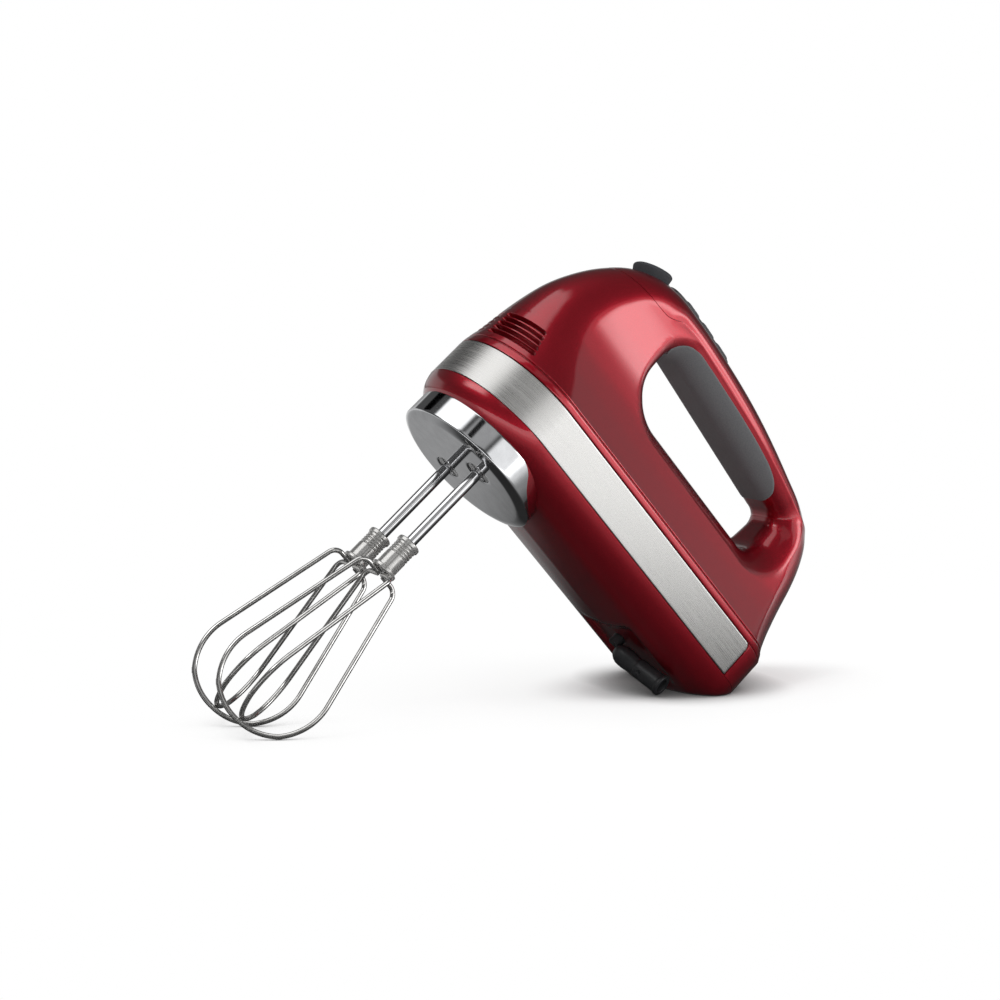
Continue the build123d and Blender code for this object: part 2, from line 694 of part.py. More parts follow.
core_end = core_start + core_length
stator = box((core_start, core_end), (-stator_half_width, stator_half_width),
             (motor_z - stator_half_height, motor_z + stator_half_height))
stator -= along_x(0, motor_z, core_start - 1, core_end + 1, armature_radius + air_gap)
coil_over = 5.0
for name, way in (("upper", 1), ("lower", -1)):
    low, high = sorted((motor_z + way * coil_low, motor_z + way * (coil_low + coil_height)))
    coil = box((core_start - coil_over, core_end + coil_over), (-coil_outer, coil_outer), (low, high))
    coil -= box((core_start - seat_gap, core_end + seat_gap), (-coil_inner, coil_inner), (low - 1, high + 1))
    nodes["field_coil_" + name] = coil
    for side in (-1, 1):
        edges = sorted((side * (coil_inner - seat_gap), side * (coil_outer + seat_gap)))
        stator -= box((core_start - 1, core_end + 1), edges, (low - seat_gap, high + seat_gap))
nodes["stator_core"] = stator

nodes["motor_shaft"] = along_x(0, motor_z, motor_shaft_front, motor_shaft_back, motor_shaft_radius)
core = ring_x(core_start, core_end, armature_radius, shaft_hole)
winding = ring_x(core_start - coil_over, core_start - seat_gap, armature_radius - 2, shaft_hole)
winding += ring_x(core_end + seat_gap, core_end + coil_over, armature_radius - 2, shaft_hole)
for i in range(armature_slots):
    turn = Pos(0, 0, motor_z) * Rot(i * 360 / armature_slots, 0, 0)
    core -= turn * box((core_start - 1, core_end + 1), (-slot_width / 2, slot_width / 2),
                       (slot_floor_radius, armature_radius + 1))
    winding += turn * box((core_start - 1, core_end + 1),
                          (-slot_width / 2 + seat_gap, slot_width / 2 - seat_gap),
                          (slot_floor_radius + seat_gap, armature_radius - 2.5))
nodes["armature_core"] = core
nodes["armature_winding"] = winding
commutator_end = commutator_start + commutator_length
commutator = ring_x(commutator_start, commutator_end, commutator_radius, shaft_hole)
for i in range(commutator_bars):
    turn = Pos(0, 0, motor_z) * Rot(i * 360 / commutator_bars, 0, 0)
    commutator -= turn * box((commutator_start - 1, commutator_end - 1.5), (-0.2, 0.2),
                             (commutator_radius - 0.8, commutator_radius + 1))
nodes["commutator"] = commutator
fan = ring_x(fan_x, fan_x + fan_depth, motor_shaft_radius + 3, shaft_hole)
fan += ring_x(fan_x, fan_x + 1.2, fan_radius, motor_shaft_radius + 2)
for i in range(fan_blades):
    turn = Pos(0, 0, motor_z) * Rot(i * 360 / fan_blades, 0, 0)
    fan += turn * Pos(fan_x + fan_depth / 2, 0, 13) * Rot(0, 0, 12) * Box(fan_depth - 0.6, 1.0, 13)
nodes["cooling_fan"] = fan

brush_half = brush_width / 2
brush_x = commutator_start + commutator_length / 2
holder_start = commutator_radius + 1.5
for name, side in (("left", -1), ("right", 1)):
    def span(a, b):
        return tuple(sorted((side * a, side * b)))
    holder = box((brush_x - brush_half - holder_wall, bracket_x),
                 span(holder_start, holder_start + holder_length),
                 (motor_z - brush_half - holder_wall, motor_z + brush_half + holder_wall))
    hole = box((brush_x - brush_half - seat_gap, brush_x + brush_half + seat_gap),
               span(holder_start - 1, holder_start + holder_length - 1.5),
               (motor_z - brush_half - seat_gap, motor_z + brush_half + seat_gap))
    nodes["brush_holder_" + name] = holder - hole
    nodes["carbon_brush_" + name] = box((brush_x - brush_half, brush_x + brush_half),
                                        span(commutator_radius + air_gap / 2, commutator_radius + brush_length),
                                        (motor_z - brush_half, motor_z + brush_half))
    length = holder_start + holder_length - 1.5 - commutator_radius - brush_length
    middle = side * (commutator_radius + brush_length + length / 2)
    spring = Pos(brush_x, middle, motor_z) * Rot(90, 0, 0) * (
        Cylinder(brush_half - 0.3, length - seat_gap) - Cylinder(1.0, length + 1))
    nodes["brush_spring_" + name] = spring

# ---- board behind the motor --------------------------------------------------------------------
board_bottom = inner_floor + 4
nodes["power_board"] = box((board_x, board_x + board_thickness), (-board_half_width, board_half_width),
                           (board_bottom, board_top))
sink_x = board_x + board_thickness
sink = box((sink_x, sink_x + 2.5), (-sink_half_width, sink_half_width), (board_bottom + 14, board_top - 4))
for i in range(fin_count):
    y = (sink_half_width - 0.7) * (2 * i / (fin_count - 1) - 1)
    sink += box((sink_x + 2, sink_x + 13), (y - 0.7, y + 0.7), (board_bottom + 14, board_top - 4))
nodes["heat_sink"] = sink
nodes["capacitor"] = box((board_x - 9, board_x), (6, 17), (board_top - 16, board_top - 2))


# ---- worm and wheels ---------------------------------------------------------------------------
wheel_radius = gear_module * wheel_teeth / 2
worm_pitch_radius = half_spacing - wheel_radius
lead = worm_starts * math.pi * gear_module
lead_angle = math.degrees(math.atan(lead / (2 * math.pi * worm_pitch_radius)))
worm_root = worm_pitch_radius - 1.2 * gear_module
worm = ring_x(-worm_length / 2, worm_length / 2, worm_root, shaft_hole)
for start in range(worm_starts):
    helix = Helix(pitch=lead, height=worm_length, radius=worm_root - 0.2)
    with BuildSketch(Plane(origin=helix @ 0, x_dir=(1, 0, 0), z_dir=helix % 0)) as drawn:
        with Locations(((worm_pitch_radius + gear_module - worm_root + 0.2) / 2, 0)):
            Rectangle(worm_pitch_radius + gear_module - worm_root + 0.2, tooth_thickness)
    thread = sweep(drawn.sketch, path=helix, is_frenet=True)
    crest = 90 - 180 * worm_length / lead + start * 360 / worm_starts
    worm += Pos(-worm_length / 2, 0, motor_z) * Rot(0, 90, 0) * Rot(0, 0, crest) * thread
nodes["worm"] = worm

wheel_root = wheel_radius - 1.2 * gear_module
tooth_height = wheel_radius + gear_module - wheel_root + 0.4
wing_low = spindle_bottom + 0.6
for name, side, phase in beaters:
    y = side * half_spacing
    wheel = upright(0, y, motor_z - wheel_face / 2, motor_z + wheel_face / 2, wheel_root)
    for i in range(wheel_teeth):
        tooth = Pos(wheel_root - 0.4 + tooth_height / 2, 0, 0) * Rot(-lead_angle, 0, 0) * Box(
            tooth_height, tooth_thickness, wheel_face)
        wheel += Pos(0, y, motor_z) * Rot(0, 0, (i + 0.5) * 360 / wheel_teeth) * tooth
    nodes["worm_wheel_" + name] = wheel - upright(0, y, 0, spindle_top, spindle_radius + running_gap)

    spindle = upright(0, y, spindle_bottom, spindle_top, spindle_radius)
    spindle += upright(0, y, spindle_bottom, spindle_bottom + foot_height, foot_radius)
    spindle -= upright(0, y, -1, spindle_top + 1, shaft_radius + running_gap)
    shaft = upright(0, y, -collar_bottom, shaft_insert, shaft_radius)
    for turn in (phase, phase + 90):
        slot = Box(wing_span + 2 * socket_gap, wing_thickness + 2 * socket_gap, 2 * (wing_length + 1.2))
        spindle -= Pos(0, y, spindle_bottom) * Rot(0, 0, turn) * slot
        wing = Box(wing_span, wing_thickness, wing_length)
        shaft += Pos(0, y, wing_low + wing_length / 2) * Rot(0, 0, turn) * wing
    nodes["spindle_" + name] = spindle
    nodes["beater_shaft_" + name] = shaft

    collar = upright(0, y, -collar_bottom, -collar_top, collar_radius)
    collar += upright(0, y, -collar_bottom, -collar_bottom + collar_lip, collar_lip_radius)
    collar -= upright(0, y, -collar_bottom - 1, -collar_top + 1, shaft_radius + running_gap)
    for i in range(collar_grooves):
        top = -collar_top - 2 - i * 2 * collar_groove
        collar -= upright(0, y, top - collar_groove, top, collar_radius + 1) - upright(
            0, y, top - 2 * collar_groove, top + collar_groove, collar_radius - collar_groove)
    nodes["beater_collar_" + name] = collar

    for loop, turn, lift in loops:
        path = loop_path(side, phase + turn, lift)
        with BuildSketch(Plane(origin=path @ 0, z_dir=path % 0)) as drawn:
            Circle(wire_radius)
        nodes["beater_loop_" + loop + "_" + name] = sweep(drawn.sketch, path=path)

# ---- cord gland --------------------------------------------------------------------------------
gland_low = gland_axis_z - gland_barrel_radius - 1
gland_post_top = gland_boss_top + 3
gland = upright(gland_x, 0, gland_low, recess_roof - 0.6, gland_head_radius)
gland += upright(gland_x, 0, gland_low, gland_post_top, gland_pivot_radius)
outwards = Pos(gland_x, 0, gland_axis_z) * Rot(0, 0, -gland_rest_angle) * Rot(0, gland_droop, 0)
barrel = outwards * Pos(gland_length / 2, 0, 0) * Rot(0, 90, 0)
gland += barrel * Cylinder(gland_barrel_radius, gland_length)
gland += outwards * Pos(gland_length - gland_rim / 2, 0, 0) * Rot(0, 90, 0) * Cylinder(
    gland_barrel_radius + 0.6, gland_rim)
gland -= barrel * Cylinder(gland_bore_radius, gland_length + 2)
gland -= upright(gland_x, 0, gland_axis_z, gland_post_top + 1, gland_bore_radius)
nodes["cord_gland"] = gland
clip_low = gland_boss_top + 0.2
nodes["gland_clip"] = upright(gland_x, 0, clip_low, clip_low + 1.4, gland_pivot_radius + 3) - upright(
    gland_x, 0, clip_low - 1, clip_low + 3, gland_pivot_radius + running_gap)

# ---- leaned over, with the middle of the bevel at the origin, and written ----------------------
lean = math.radians(stand_angle)
bevel_low = (underside_z - heel_z) / math.sin(lean)
bevel_high = (tail_x - heel_x) / math.cos(lean)
bevel_middle = (bevel_low + bevel_high) / 2
foot_x = heel_x + bevel_middle * math.cos(lean)
foot_z = heel_z + bevel_middle * math.sin(lean)
print("bevel middle", round(foot_x, 4), round(foot_z, 4), "bevel length", round(bevel_high - bevel_low, 3))
stand = Rot(0, stand_angle, 0) * Pos(-foot_x, 0, -foot_z)
os.makedirs("parts", exist_ok=True)
for name, shape in nodes.items():
    export_step(stand * shape, "parts/" + name + ".step")
print(len(nodes), "pieces")
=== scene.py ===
# Studio scene of a red hand mixer that stands on its heel and its two beaters.
# Shapes are worked out in millimetres in the mixer's own upright frame (x to the back, y to the
# right, z up through the handle, origin between the beater sockets) and then leaned over.
import json
import math
import bmesh
import bpy
import numpy as np
from mathutils import Matrix, Vector


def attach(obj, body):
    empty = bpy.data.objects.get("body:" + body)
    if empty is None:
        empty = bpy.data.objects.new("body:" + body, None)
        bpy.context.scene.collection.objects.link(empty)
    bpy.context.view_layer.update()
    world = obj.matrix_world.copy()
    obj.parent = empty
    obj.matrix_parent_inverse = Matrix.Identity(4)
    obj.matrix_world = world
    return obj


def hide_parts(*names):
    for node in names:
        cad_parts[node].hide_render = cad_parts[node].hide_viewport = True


def unit(v):
    # vectors scaled to length one
    return v / np.linalg.norm(v, axis=-1, keepdims=True)


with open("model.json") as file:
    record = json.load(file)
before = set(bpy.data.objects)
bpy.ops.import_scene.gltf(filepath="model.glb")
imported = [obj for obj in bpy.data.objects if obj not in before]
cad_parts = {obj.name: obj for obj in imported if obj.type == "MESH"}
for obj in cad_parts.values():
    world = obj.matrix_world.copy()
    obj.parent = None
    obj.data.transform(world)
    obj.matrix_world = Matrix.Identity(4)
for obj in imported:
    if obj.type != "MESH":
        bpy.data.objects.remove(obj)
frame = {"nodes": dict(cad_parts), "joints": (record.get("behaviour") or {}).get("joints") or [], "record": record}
scene = bpy.context.scene
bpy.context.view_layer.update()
print("frame loaded:", len(frame["nodes"]), "nodes")

# ------ the leaning frame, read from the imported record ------
spindleJoint = next(j for j in frame["joints"] if j["name"] == "left_spindle_spin")
upAxis = unit(np.array(spindleJoint["axis"], float))
rightAxis = np.array([0.0, 1.0, 0.0])
backAxis = np.cross(rightAxis, upAxis)
leanAngle = math.atan2(upAxis[0], upAxis[2])
halfSpacing = 15.4      # from the middle to each beater
jointHeight = 30.0      # of the spindle's joint above the sockets
socketCentre = np.array(spindleJoint["pos_m"]) - 0.001 * (jointHeight * upAxis - halfSpacing * rightAxis)


def toRoom(points):
    # mixer millimetres to room metres
    return socketCentre + 0.001 * (points @ np.stack([backAxis, rightAxis, upAxis]))


# ------ small tools for curves and grids ------
def hermite(s, start, end, startSlope, endSlope):
    # cubic from start to end over s = 0 to 1
    return ((2 * s ** 3 - 3 * s ** 2 + 1) * start + (s ** 3 - 2 * s ** 2 + s) * startSlope
            + (3 * s ** 2 - 2 * s ** 3) * end + (s ** 3 - s ** 2) * endSlope)


def runningLength(line):
    # length of a polyline up to each of its points
    return np.concatenate([[0], np.cumsum(np.linalg.norm(np.diff(line, axis=0), axis=1))])


def evenCurve(points, count):
    # smooth curve through rows of any width: Hermite spans with chord-length slopes, then evened out
    p = np.array(points, float)
    t = runningLength(p[:, :2])
    gap = np.diff(t)
    run = np.diff(p, axis=0) / gap[:, None]
    slope = np.empty_like(p)
    slope[1:-1] = (run[1:] * gap[:-1, None] + run[:-1] * gap[1:, None]) / (gap[1:] + gap[:-1])[:, None]
    slope[0], slope[-1] = run[0], run[-1]
    q = np.linspace(0, t[-1], count * 4)
    k = np.clip(np.searchsorted(t, q) - 1, 0, len(gap) - 1)
    s, g = ((q - t[k]) / gap[k])[:, None], gap[k][:, None]
    fine = hermite(s, p[k], p[k + 1], g * slope[k], g * slope[k + 1])
    return alongLine(fine, np.linspace(0, 1, count))


def alongLine(line, share):
    # points of a polyline at shares of its length
    t = runningLength(line)
    return np.stack([np.interp(share, t / t[-1], column) for column in line.T], 1)


def tableAt(table, q):
    # monotone cubic through the rows of a table: harmonic means of neighbouring slopes
    x, y = np.array(table, float).T
    gap = np.diff(x)
    run = np.diff(y) / gap
    slope = np.concatenate([run[:1], np.zeros(len(run) - 1), run[-1:]])
    same = run[:-1] * run[1:] > 0
    slope[1:-1][same] = 2 * run[:-1][same] * run[1:][same] / (run[:-1] + run[1:])[same]
    k = np.clip(np.searchsorted(x, q) - 1, 0, len(gap) - 1)
    s = np.clip((q - x[k]) / gap[k], 0, 1)
    return hermite(s, y[k], y[k + 1], gap[k] * slope[k], gap[k] * slope[k + 1])


def distanceTo(line, x, z):
    # distance from each point to a polyline, and the place of the nearest point along it
    a, d = line[:-1, :2], np.diff(line[:, :2], axis=0)
    p = np.stack([np.ravel(x), np.ravel(z)], 1)[:, None]
    t = np.clip(((p - a) * d).sum(2) / (d ** 2).sum(1), 0, 1)
    gap = np.hypot(*np.moveaxis(p - a - t[..., None] * d, 2, 0))
    k = gap.argmin(1)
    row = np.arange(len(k))
    return gap[row, k].reshape(np.shape(x)), (k + t[row, k]).reshape(np.shape(x))


def cornerArc(before, corner, after, radius, count):
    # the arc that rounds a corner, turned evenly from one touching point to the other
    u, v = unit(before - corner), unit(after - corner)
    half = math.acos(np.clip(u @ v, -1, 1)) / 2
    middle = corner + unit(u + v) * radius / math.sin(half)
    first, last = (corner + d * radius / math.tan(half) - middle for d in (u, v))
    turn = math.acos(np.clip(first @ last / radius ** 2, -1, 1))
    s = np.linspace(0, 1, count)[:, None]
    return middle + (np.sin((1 - s) * turn) * first + np.sin(s * turn) * last) / math.sin(turn)


def roundedLoop(corners, radii, steps):
    # closed polygon with an arc at each corner; also gives the index of each arc's middle
    c, count = np.array(corners, float), 2 * steps + 1
    arcs = [cornerArc(c[i - 1], c[i], c[(i + 1) % len(c)], radius, count) for i, radius in enumerate(radii)]
    return np.concatenate(arcs), [count * i + steps for i in range(len(c))]


def gridFaces(rows, columns, wrap):
    # four-sided faces between neighbouring rows and columns; wrap joins the last column to the first
    r = np.arange(rows - 1)[:, None] * columns
    c = np.arange(columns if wrap else columns - 1)
    c2 = (c + 1) % columns
    return np.stack([r + c, r + c2, r + columns + c2, r + columns + c], -1).reshape(-1, 4)


def ruled(inner, outer, t):
    # the two coordinates of points that lead straight from one line to another
    return (inner[:, k] + t * (outer - inner)[:, k] for k in (0, 1))


def patch(x, y, z, wrap=False, flip=False, uv=None):
    # a grid of points, from arrays that are spread over each other's rows and columns
    points = np.stack(np.broadcast_arrays(x, y, z), -1).astype(float)
    return {"points": points, "wrap": wrap, "flip": flip, "uv": uv}


def bothSides(patches):
    # the patches of the left half and their mirror images
    return patches + [{**p, "points": p["points"] * (1, -1, 1), "flip": not p["flip"]} for p in patches]


def addObject(name, data):
    item = bpy.data.objects.new(name, data)
    scene.collection.objects.link(item)
    return item


def makePiece(name, patches, body, slot, nodes, sharp=38.0):
    # joins grids into one mesh, welds points within 8 micrometres, hangs it on its body and hides the CAD parts it
    # replaces
    points, faces, loopUv, start = [], [], [], 0
    for p in patches:
        rows, columns = p["points"].shape[:2]
        quads = gridFaces(rows, columns, p["wrap"])
        if p["flip"]:
            quads = quads[:, ::-1]
        uv = np.zeros((rows, columns, 2)) if p["uv"] is None else p["uv"]
        loopUv.append(uv.reshape(-1, 2)[quads.ravel()])
        points.append(p["points"].reshape(-1, 3))
        faces.append(quads + start)
        start += rows * columns
    mesh = bpy.data.meshes.new(name)
    mesh.from_pydata(toRoom(np.concatenate(points)).tolist(), [], np.concatenate(faces).tolist())
    mesh.uv_layers.new(name="span")
    mesh.uv_layers["span"].data.foreach_set("uv", np.concatenate(loopUv).ravel())
    work = bmesh.new()
    work.from_mesh(mesh)
    bmesh.ops.remove_doubles(work, verts=work.verts, dist=8e-6)
    bmesh.ops.dissolve_degenerate(work, edges=work.edges, dist=2e-6)
    work.to_mesh(mesh)
    work.free()
    mesh.shade_smooth()
    mesh.set_sharp_from_angle(angle=math.radians(sharp))
    piece = addObject(name, mesh)
    mesh.materials.append(finishes[slot])
    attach(piece, body)
    if nodes:
        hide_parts(*nodes)
    print("piece", name, len(mesh.polygons), "faces")


# ------ materials ------
def linear(hexColour):
    # sRGB hex to linear, with alpha
    part = np.array([int(hexColour[i:i + 2], 16) for i in (1, 3, 5)]) / 255
    value = np.where(part <= 0.04045, part / 12.92, ((part + 0.055) / 1.055) ** 2.4)
    return (*[float(v) for v in value], 1.0)


def addNode(tree, kind, settings=None, inputs=None):
    # one node with its settings; an input that is a socket is linked, anything else is a value
    node = tree.nodes.new("ShaderNode" + kind)
    for key, value in (settings or {}).items():
        setattr(node, key, value)
    for key, value in (inputs or {}).items():
        if isinstance(value, bpy.types.NodeSocket):
            tree.links.new(value, node.inputs[key])
        else:
            node.inputs[key].default_value = value
    return node


def mathNode(tree, operation, *values):
    return addNode(tree, "Math", {"operation": operation}, dict(enumerate(values))).outputs[0]


def rangeNode(tree, value, start, end, low, high, kind="SMOOTHSTEP"):
    # value from start to end becomes low to high
    return addNode(tree, "MapRange", {"interpolation_type": kind}, {
        "Value": value, "From Min": start, "From Max": end, "To Min": low, "To Max": high}).outputs["Result"]


def newMaterial(name, fixed):
    # a material with its shader's fixed values set on the shader itself
    material = bpy.data.materials.new(name)
    material.use_nodes = True
    shader = material.node_tree.nodes["Principled BSDF"]
    for key, value in fixed.items():
        shader.inputs[key].default_value = value
    return material, material.node_tree, shader


def bareMaterial(name):
    # a material of the stage, whose tree is still empty
    material = bpy.data.materials.new(name)
    material.use_nodes = True
    material.node_tree.nodes.clear()
    return material, material.node_tree


def grainNodes(tree, scaleMm, detail=3.0):
    # noise whose cells are about scaleMm across on the piece
    where = addNode(tree, "TexCoord")
    return addNode(tree, "TexNoise", inputs={
        "Vector": where.outputs["Object"], "Scale": 1000 / scaleMm, "Detail": detail})


def shadeBetween(tree, noise, dark, light):
    ramp = addNode(tree, "ValToRGB", inputs={"Fac": noise.outputs["Fac"]})
    for element, place, shade in zip(ramp.color_ramp.elements, (0.35, 0.65), (dark, light)):
        element.position = place
        element.color = linear(shade)
    return ramp.outputs["Color"]


def roughBetween(tree, noise, low, high):
    return rangeNode(tree, noise.outputs["Fac"], 0.3, 0.7, low, high, "LINEAR")


def finishMaterial(tree, shader, colour, roughness, height, strength, depthMm):
    bump = addNode(tree, "Bump", inputs={
        "Height": height, "Strength": strength, "Distance": depthMm * 0.001})
    for name, socket in (("Base Color", colour), ("Roughness", roughness), ("Normal", bump.outputs[0])):
        tree.links.new(socket, shader.inputs[name])


def candyLacquer():
    # ABS shell under candy-red lacquer: fine metal flake below a clear gloss coat, sprayed, so the
    # colour goes deep at the edges and the coat keeps sharp window reflections
    material, tree, shader = newMaterial("candyRedLacquer", {
        "Metallic": 0.8, "Specular IOR Level": 0.2,
        "Coat Weight": 1.0, "Coat Roughness": 0.03, "Coat IOR": 1.5})
    flake = grainNodes(tree, 0.35, 1.0)      # flake is finer than this, drawn coarse enough to show
    body = shadeBetween(tree, flake, "#a01324", "#b21a2b")
    facing = addNode(tree, "LayerWeight", inputs={"Blend": 0.35})
    deep = addNode(tree, "Mix", {"data_type": "RGBA"}, {
        "Factor": facing.outputs["Facing"], "A": body, "B": linear("#5a0815")})
    peel = grainNodes(tree, 2.2, 2.0)        # orange peel of the sprayed coat
    finishMaterial(tree, shader, deep.outputs["Result"], roughBetween(tree, flake, 0.34, 0.44),
                   peel.outputs["Fac"], 0.06, 0.02)
    return material


def brushedBand():
    # stainless strip brushed along its length, grit about 0.15 mm: light smears across the grain
    material, tree, shader = newMaterial("brushedStainlessBand", {
        "Metallic": 1.0, "Anisotropic": 0.7})
    where = addNode(tree, "UVMap", {"uv_map": "span"})
    mapped = addNode(tree, "Mapping", inputs={
        "Vector": where.outputs["UV"], "Scale": (0.035, 7.0, 1)})
    grain = addNode(tree, "TexNoise", inputs={
        "Vector": mapped.outputs["Vector"], "Scale": 1.0, "Detail": 4.0, "Roughness": 0.7})
    tangent = addNode(tree, "Tangent", {"direction_type": "UV_MAP", "uv_map": "span"})
    tree.links.new(tangent.outputs["Tangent"], shader.inputs["Tangent"])
    finishMaterial(tree, shader, shadeBetween(tree, grain, "#b9b8b6", "#d6d5d3"),
                   roughBetween(tree, grain, 0.20, 0.36), grain.outputs["Fac"], 0.25, 0.02)
    return material


def plainFinish(name, look, strength, fixed):
    # two near shades and two roughnesses mixed by one fine noise, which also drives the bump
    dark, light, low, high, scaleMm, depthMm = look
    material, tree, shader = newMaterial(name, fixed)
    grain = grainNodes(tree, scaleMm)
    finishMaterial(tree, shader, shadeBetween(tree, grain, dark, light), roughBetween(tree, grain, low, high),
                   grain.outputs["Fac"], strength, depthMm)
    return material


def plainMetal(name, *look, metallic=1.0):
    return plainFinish(name, look, 0.15, {"Metallic": metallic})


def plainPlastic(name, *look, ior=1.5, strength=0.25, coat=0.0, specular=0.5):
    return plainFinish(name, look, strength, {
        "IOR": ior, "Coat Weight": coat, "Coat Roughness": 0.05, "Specular IOR Level": specular})


# a look is two near shades, least and most roughness, and size and depth of the grain in millimetres
finishes = {
    "housing_gloss": candyLacquer(),
    "band_steel": brushedBand(),
    # bright chrome plate on a polished cup: near mirror
    "cap_chrome": plainMetal("polishedChromePlate", "#cfd0d2", "#dadbdd", 0.075, 0.11, 6.0, 0.002),
    # overmoulded thermoplastic rubber: matt, with a fine spark-eroded grain
    "grip_rubber": plainPlastic("softGripRubber", "#535456", "#606163", 0.62, 0.74, 0.45, 0.05),
    # polycarbonate blend strip, satin
    "panel_black": plainPlastic("satinDarkStrip", "#2b2b2d", "#343436", 0.30, 0.38, 0.5, 0.01),
    # smoked acrylic window over the speed digits: clear gloss coat
    "window_glass": plainPlastic("smokedAcrylicWindow", "#0a0b0d", "#101216", 0.05, 0.09, 3.0, 0.002,
                                 ior=1.49, strength=0.1, coat=1.0),
    # moulded ABS push buttons, fine texture; the eject button is the duller one
    "button_grey": plainPlastic("mouldedButtonAbs", "#35363a", "#404145", 0.38, 0.48, 0.4, 0.02),
    "eject_grey": plainPlastic("mouldedEjectAbs", "#303134", "#3a3b3e", 0.62, 0.72, 0.4, 0.02, specular=0.2),
    # drawn and electropolished stainless: bright, with a soft haze from the fine etch
    "wire_steel": plainMetal("polishedStainlessWire", "#c6c5c3", "#d8d7d5", 0.07, 0.13, 4.0, 0.002,
                             metallic=0.92),
    "beater_steel": plainMetal("polishedStainlessShaft", "#dad9d7", "#e8e7e5", 0.10, 0.16, 4.0, 0.002,
                               metallic=0.72),
    "collar_steel": plainMetal("turnedStainlessCollar", "#bab9b7", "#cccbc9", 0.16, 0.24, 0.5, 0.01,
                               metallic=0.75),
    # glass-filled nylon gland, satin black
    "gland_black": plainPlastic("blackNylonGland", "#202123", "#2a2b2d", 0.38, 0.50, 0.5, 0.03),
    "bright_steel": plainMetal("groundSteel", "#a9a8a6", "#bbbab8", 0.18, 0.28, 0.6, 0.01),
    "gear_plastic": plainPlastic("naturalNylonGear", "#cfcab8", "#ddd8c8", 0.40, 0.52, 0.8, 0.03),
    "case_alloy": plainMetal("dieCastAluminium", "#8f9193", "#a5a7a9", 0.42, 0.58, 0.9, 0.04),
    "bushing_brass": plainMetal("sinteredBronze", "#8c6838", "#a67e48", 0.35, 0.50, 0.3, 0.03),
    "iron_laminate": plainMetal("stackedIronLaminations", "#4b4b4d", "#606062", 0.40, 0.55, 0.5, 0.04),
    "copper_winding": plainMetal("enamelledCopperWire", "#7c3d1e", "#a35a30", 0.25, 0.38, 0.6, 0.05),
    "inner_plastic": plainPlastic("mouldedInnerNylon", "#202124", "#2b2c2f", 0.45, 0.60, 0.7, 0.03),
    "board_green": plainPlastic("circuitBoardMask", "#0d3a20", "#15502d", 0.30, 0.42, 1.2, 0.03),
    "carbon": plainPlastic("pressedCarbon", "#101011", "#1c1c1e", 0.60, 0.75, 0.3, 0.03),
}
for entry in frame["record"]["materials"]:
    for node in entry.get("nodes", []):
        if node in frame["nodes"]:
            slots = frame["nodes"][node].data.materials
            slots.clear()
            slots.append(finishes[entry["slot"]])
print("materials made:", len(finishes))

# ------ the outline of the body from the side, and its width at each height ------
# rows of (x, z, depth over which the side rolls in, power of that roll)
outlineRows = [
    (-42.8, -20, 43.5, 2.0), (-42.8, 20, 43.5, 2.0), (-42.8, 40, 43.5, 2.0), (-42.7, 44, 43.5, 2.0),
    (-42.3, 48, 42.6, 2.0), (-41.2, 55, 38.5, 2.0), (-40.1, 66, 32.5, 2.0), (-38.4, 78, 27.0, 2.0),
    (-35.2, 92, 22.5, 2.0), (-29.3, 106, 20.0, 2.0), (-21.3, 119, 18.5, 2.05), (-11.5, 130.0, 17.0, 2.1),
    (0, 137.2, 16.0, 2.2), (12, 140.5, 15.5, 2.3), (30, 141.0, 15.0, 2.4), (50, 140.3, 15.0, 2.4),
    (90, 136.8, 15.5, 2.3), (125, 130.0, 16.0, 2.3), (143, 125.3, 16.0, 2.3), (153, 120.6, 16.0, 2.3),
    (161, 113.3, 16.0, 2.3), (166.3, 104.5, 16.5, 2.3), (170.3, 92, 18.0, 2.4), (172.4, 78, 20.0, 2.4),
    (173.2, 66, 22.0, 2.5), (173.9, 55, 24.0, 2.6), (174.6, 50.2, 24.0, 2.6), (176.5, 47.4, 24.0, 2.6),
    (176.9, 45, 24.0, 2.6), (176.9, 40, 24.0, 2.6), (176.9, 20, 24.0, 2.6), (176.9, -20, 24.0, 2.6)]
widthRows = [
    (-20, 43.5), (44, 43.5), (47.0, 43.4), (48, 42.7), (50, 41.4), (55, 38.5), (66, 32.5), (78, 27.0),
    (92, 22.5), (106, 20.0), (120, 18.8), (134, 18.4), (150, 18.2)]
bodyHalf = 43.5             # half width at the band
bodyLength = 219.7          # from the middle of the nose to the middle of the tail
heelCorner = (163.2, 15.8)  # x and z of the heel's corner on the table
outline = evenCurve(outlineRows, 420)
topIndex = int(outline[:, 1].argmax())
frontLine = outline[:topIndex + 1]
backLine = outline[topIndex:][::-1]


def noseAt(z):
    return np.interp(z, frontLine[:, 1], frontLine[:, 0])


def tailAt(z):
    return np.interp(z, backLine[:, 1], backLine[:, 0])


def crownAt(x):
    upper = outline[outline[:, 1] > 100]
    return np.interp(x, upper[:, 0], upper[:, 1])


def edgeRoll(place):
    # how deep the side rolls in and with which power, at a place along the outline
    index = np.arange(len(outline))
    return np.interp(place, index, outline[:, 2]), np.interp(place, index, outline[:, 3])


def halfWidth(x, z):
    # half width of the body: full inside the outline, rolled in by a superellipse near it
    gap, place = distanceTo(outline, x, z)
    roll, power = edgeRoll(place)
    u = 1 - np.clip(gap / roll, 0, 1)
    return tableAt(widthRows, z) * (1 - u ** power) ** (1 / power)


def smoothStep(a, b, v):
    s = np.clip((v - a) / (b - a), 0, 1)
    return s * s * (3 - 2 * s)


def edgeFall(inward, size):
    # how far a quarter-round edge falls away, as a share of its size
    return 1 - np.sqrt(1 - (1 - np.clip(inward / size, 0, 1)) ** 2)


def softLess(a, b, r=0.6):
    # the smaller of two values with a rounded corner
    return (a + b - np.sqrt((a - b) ** 2 + r * r)) / 2


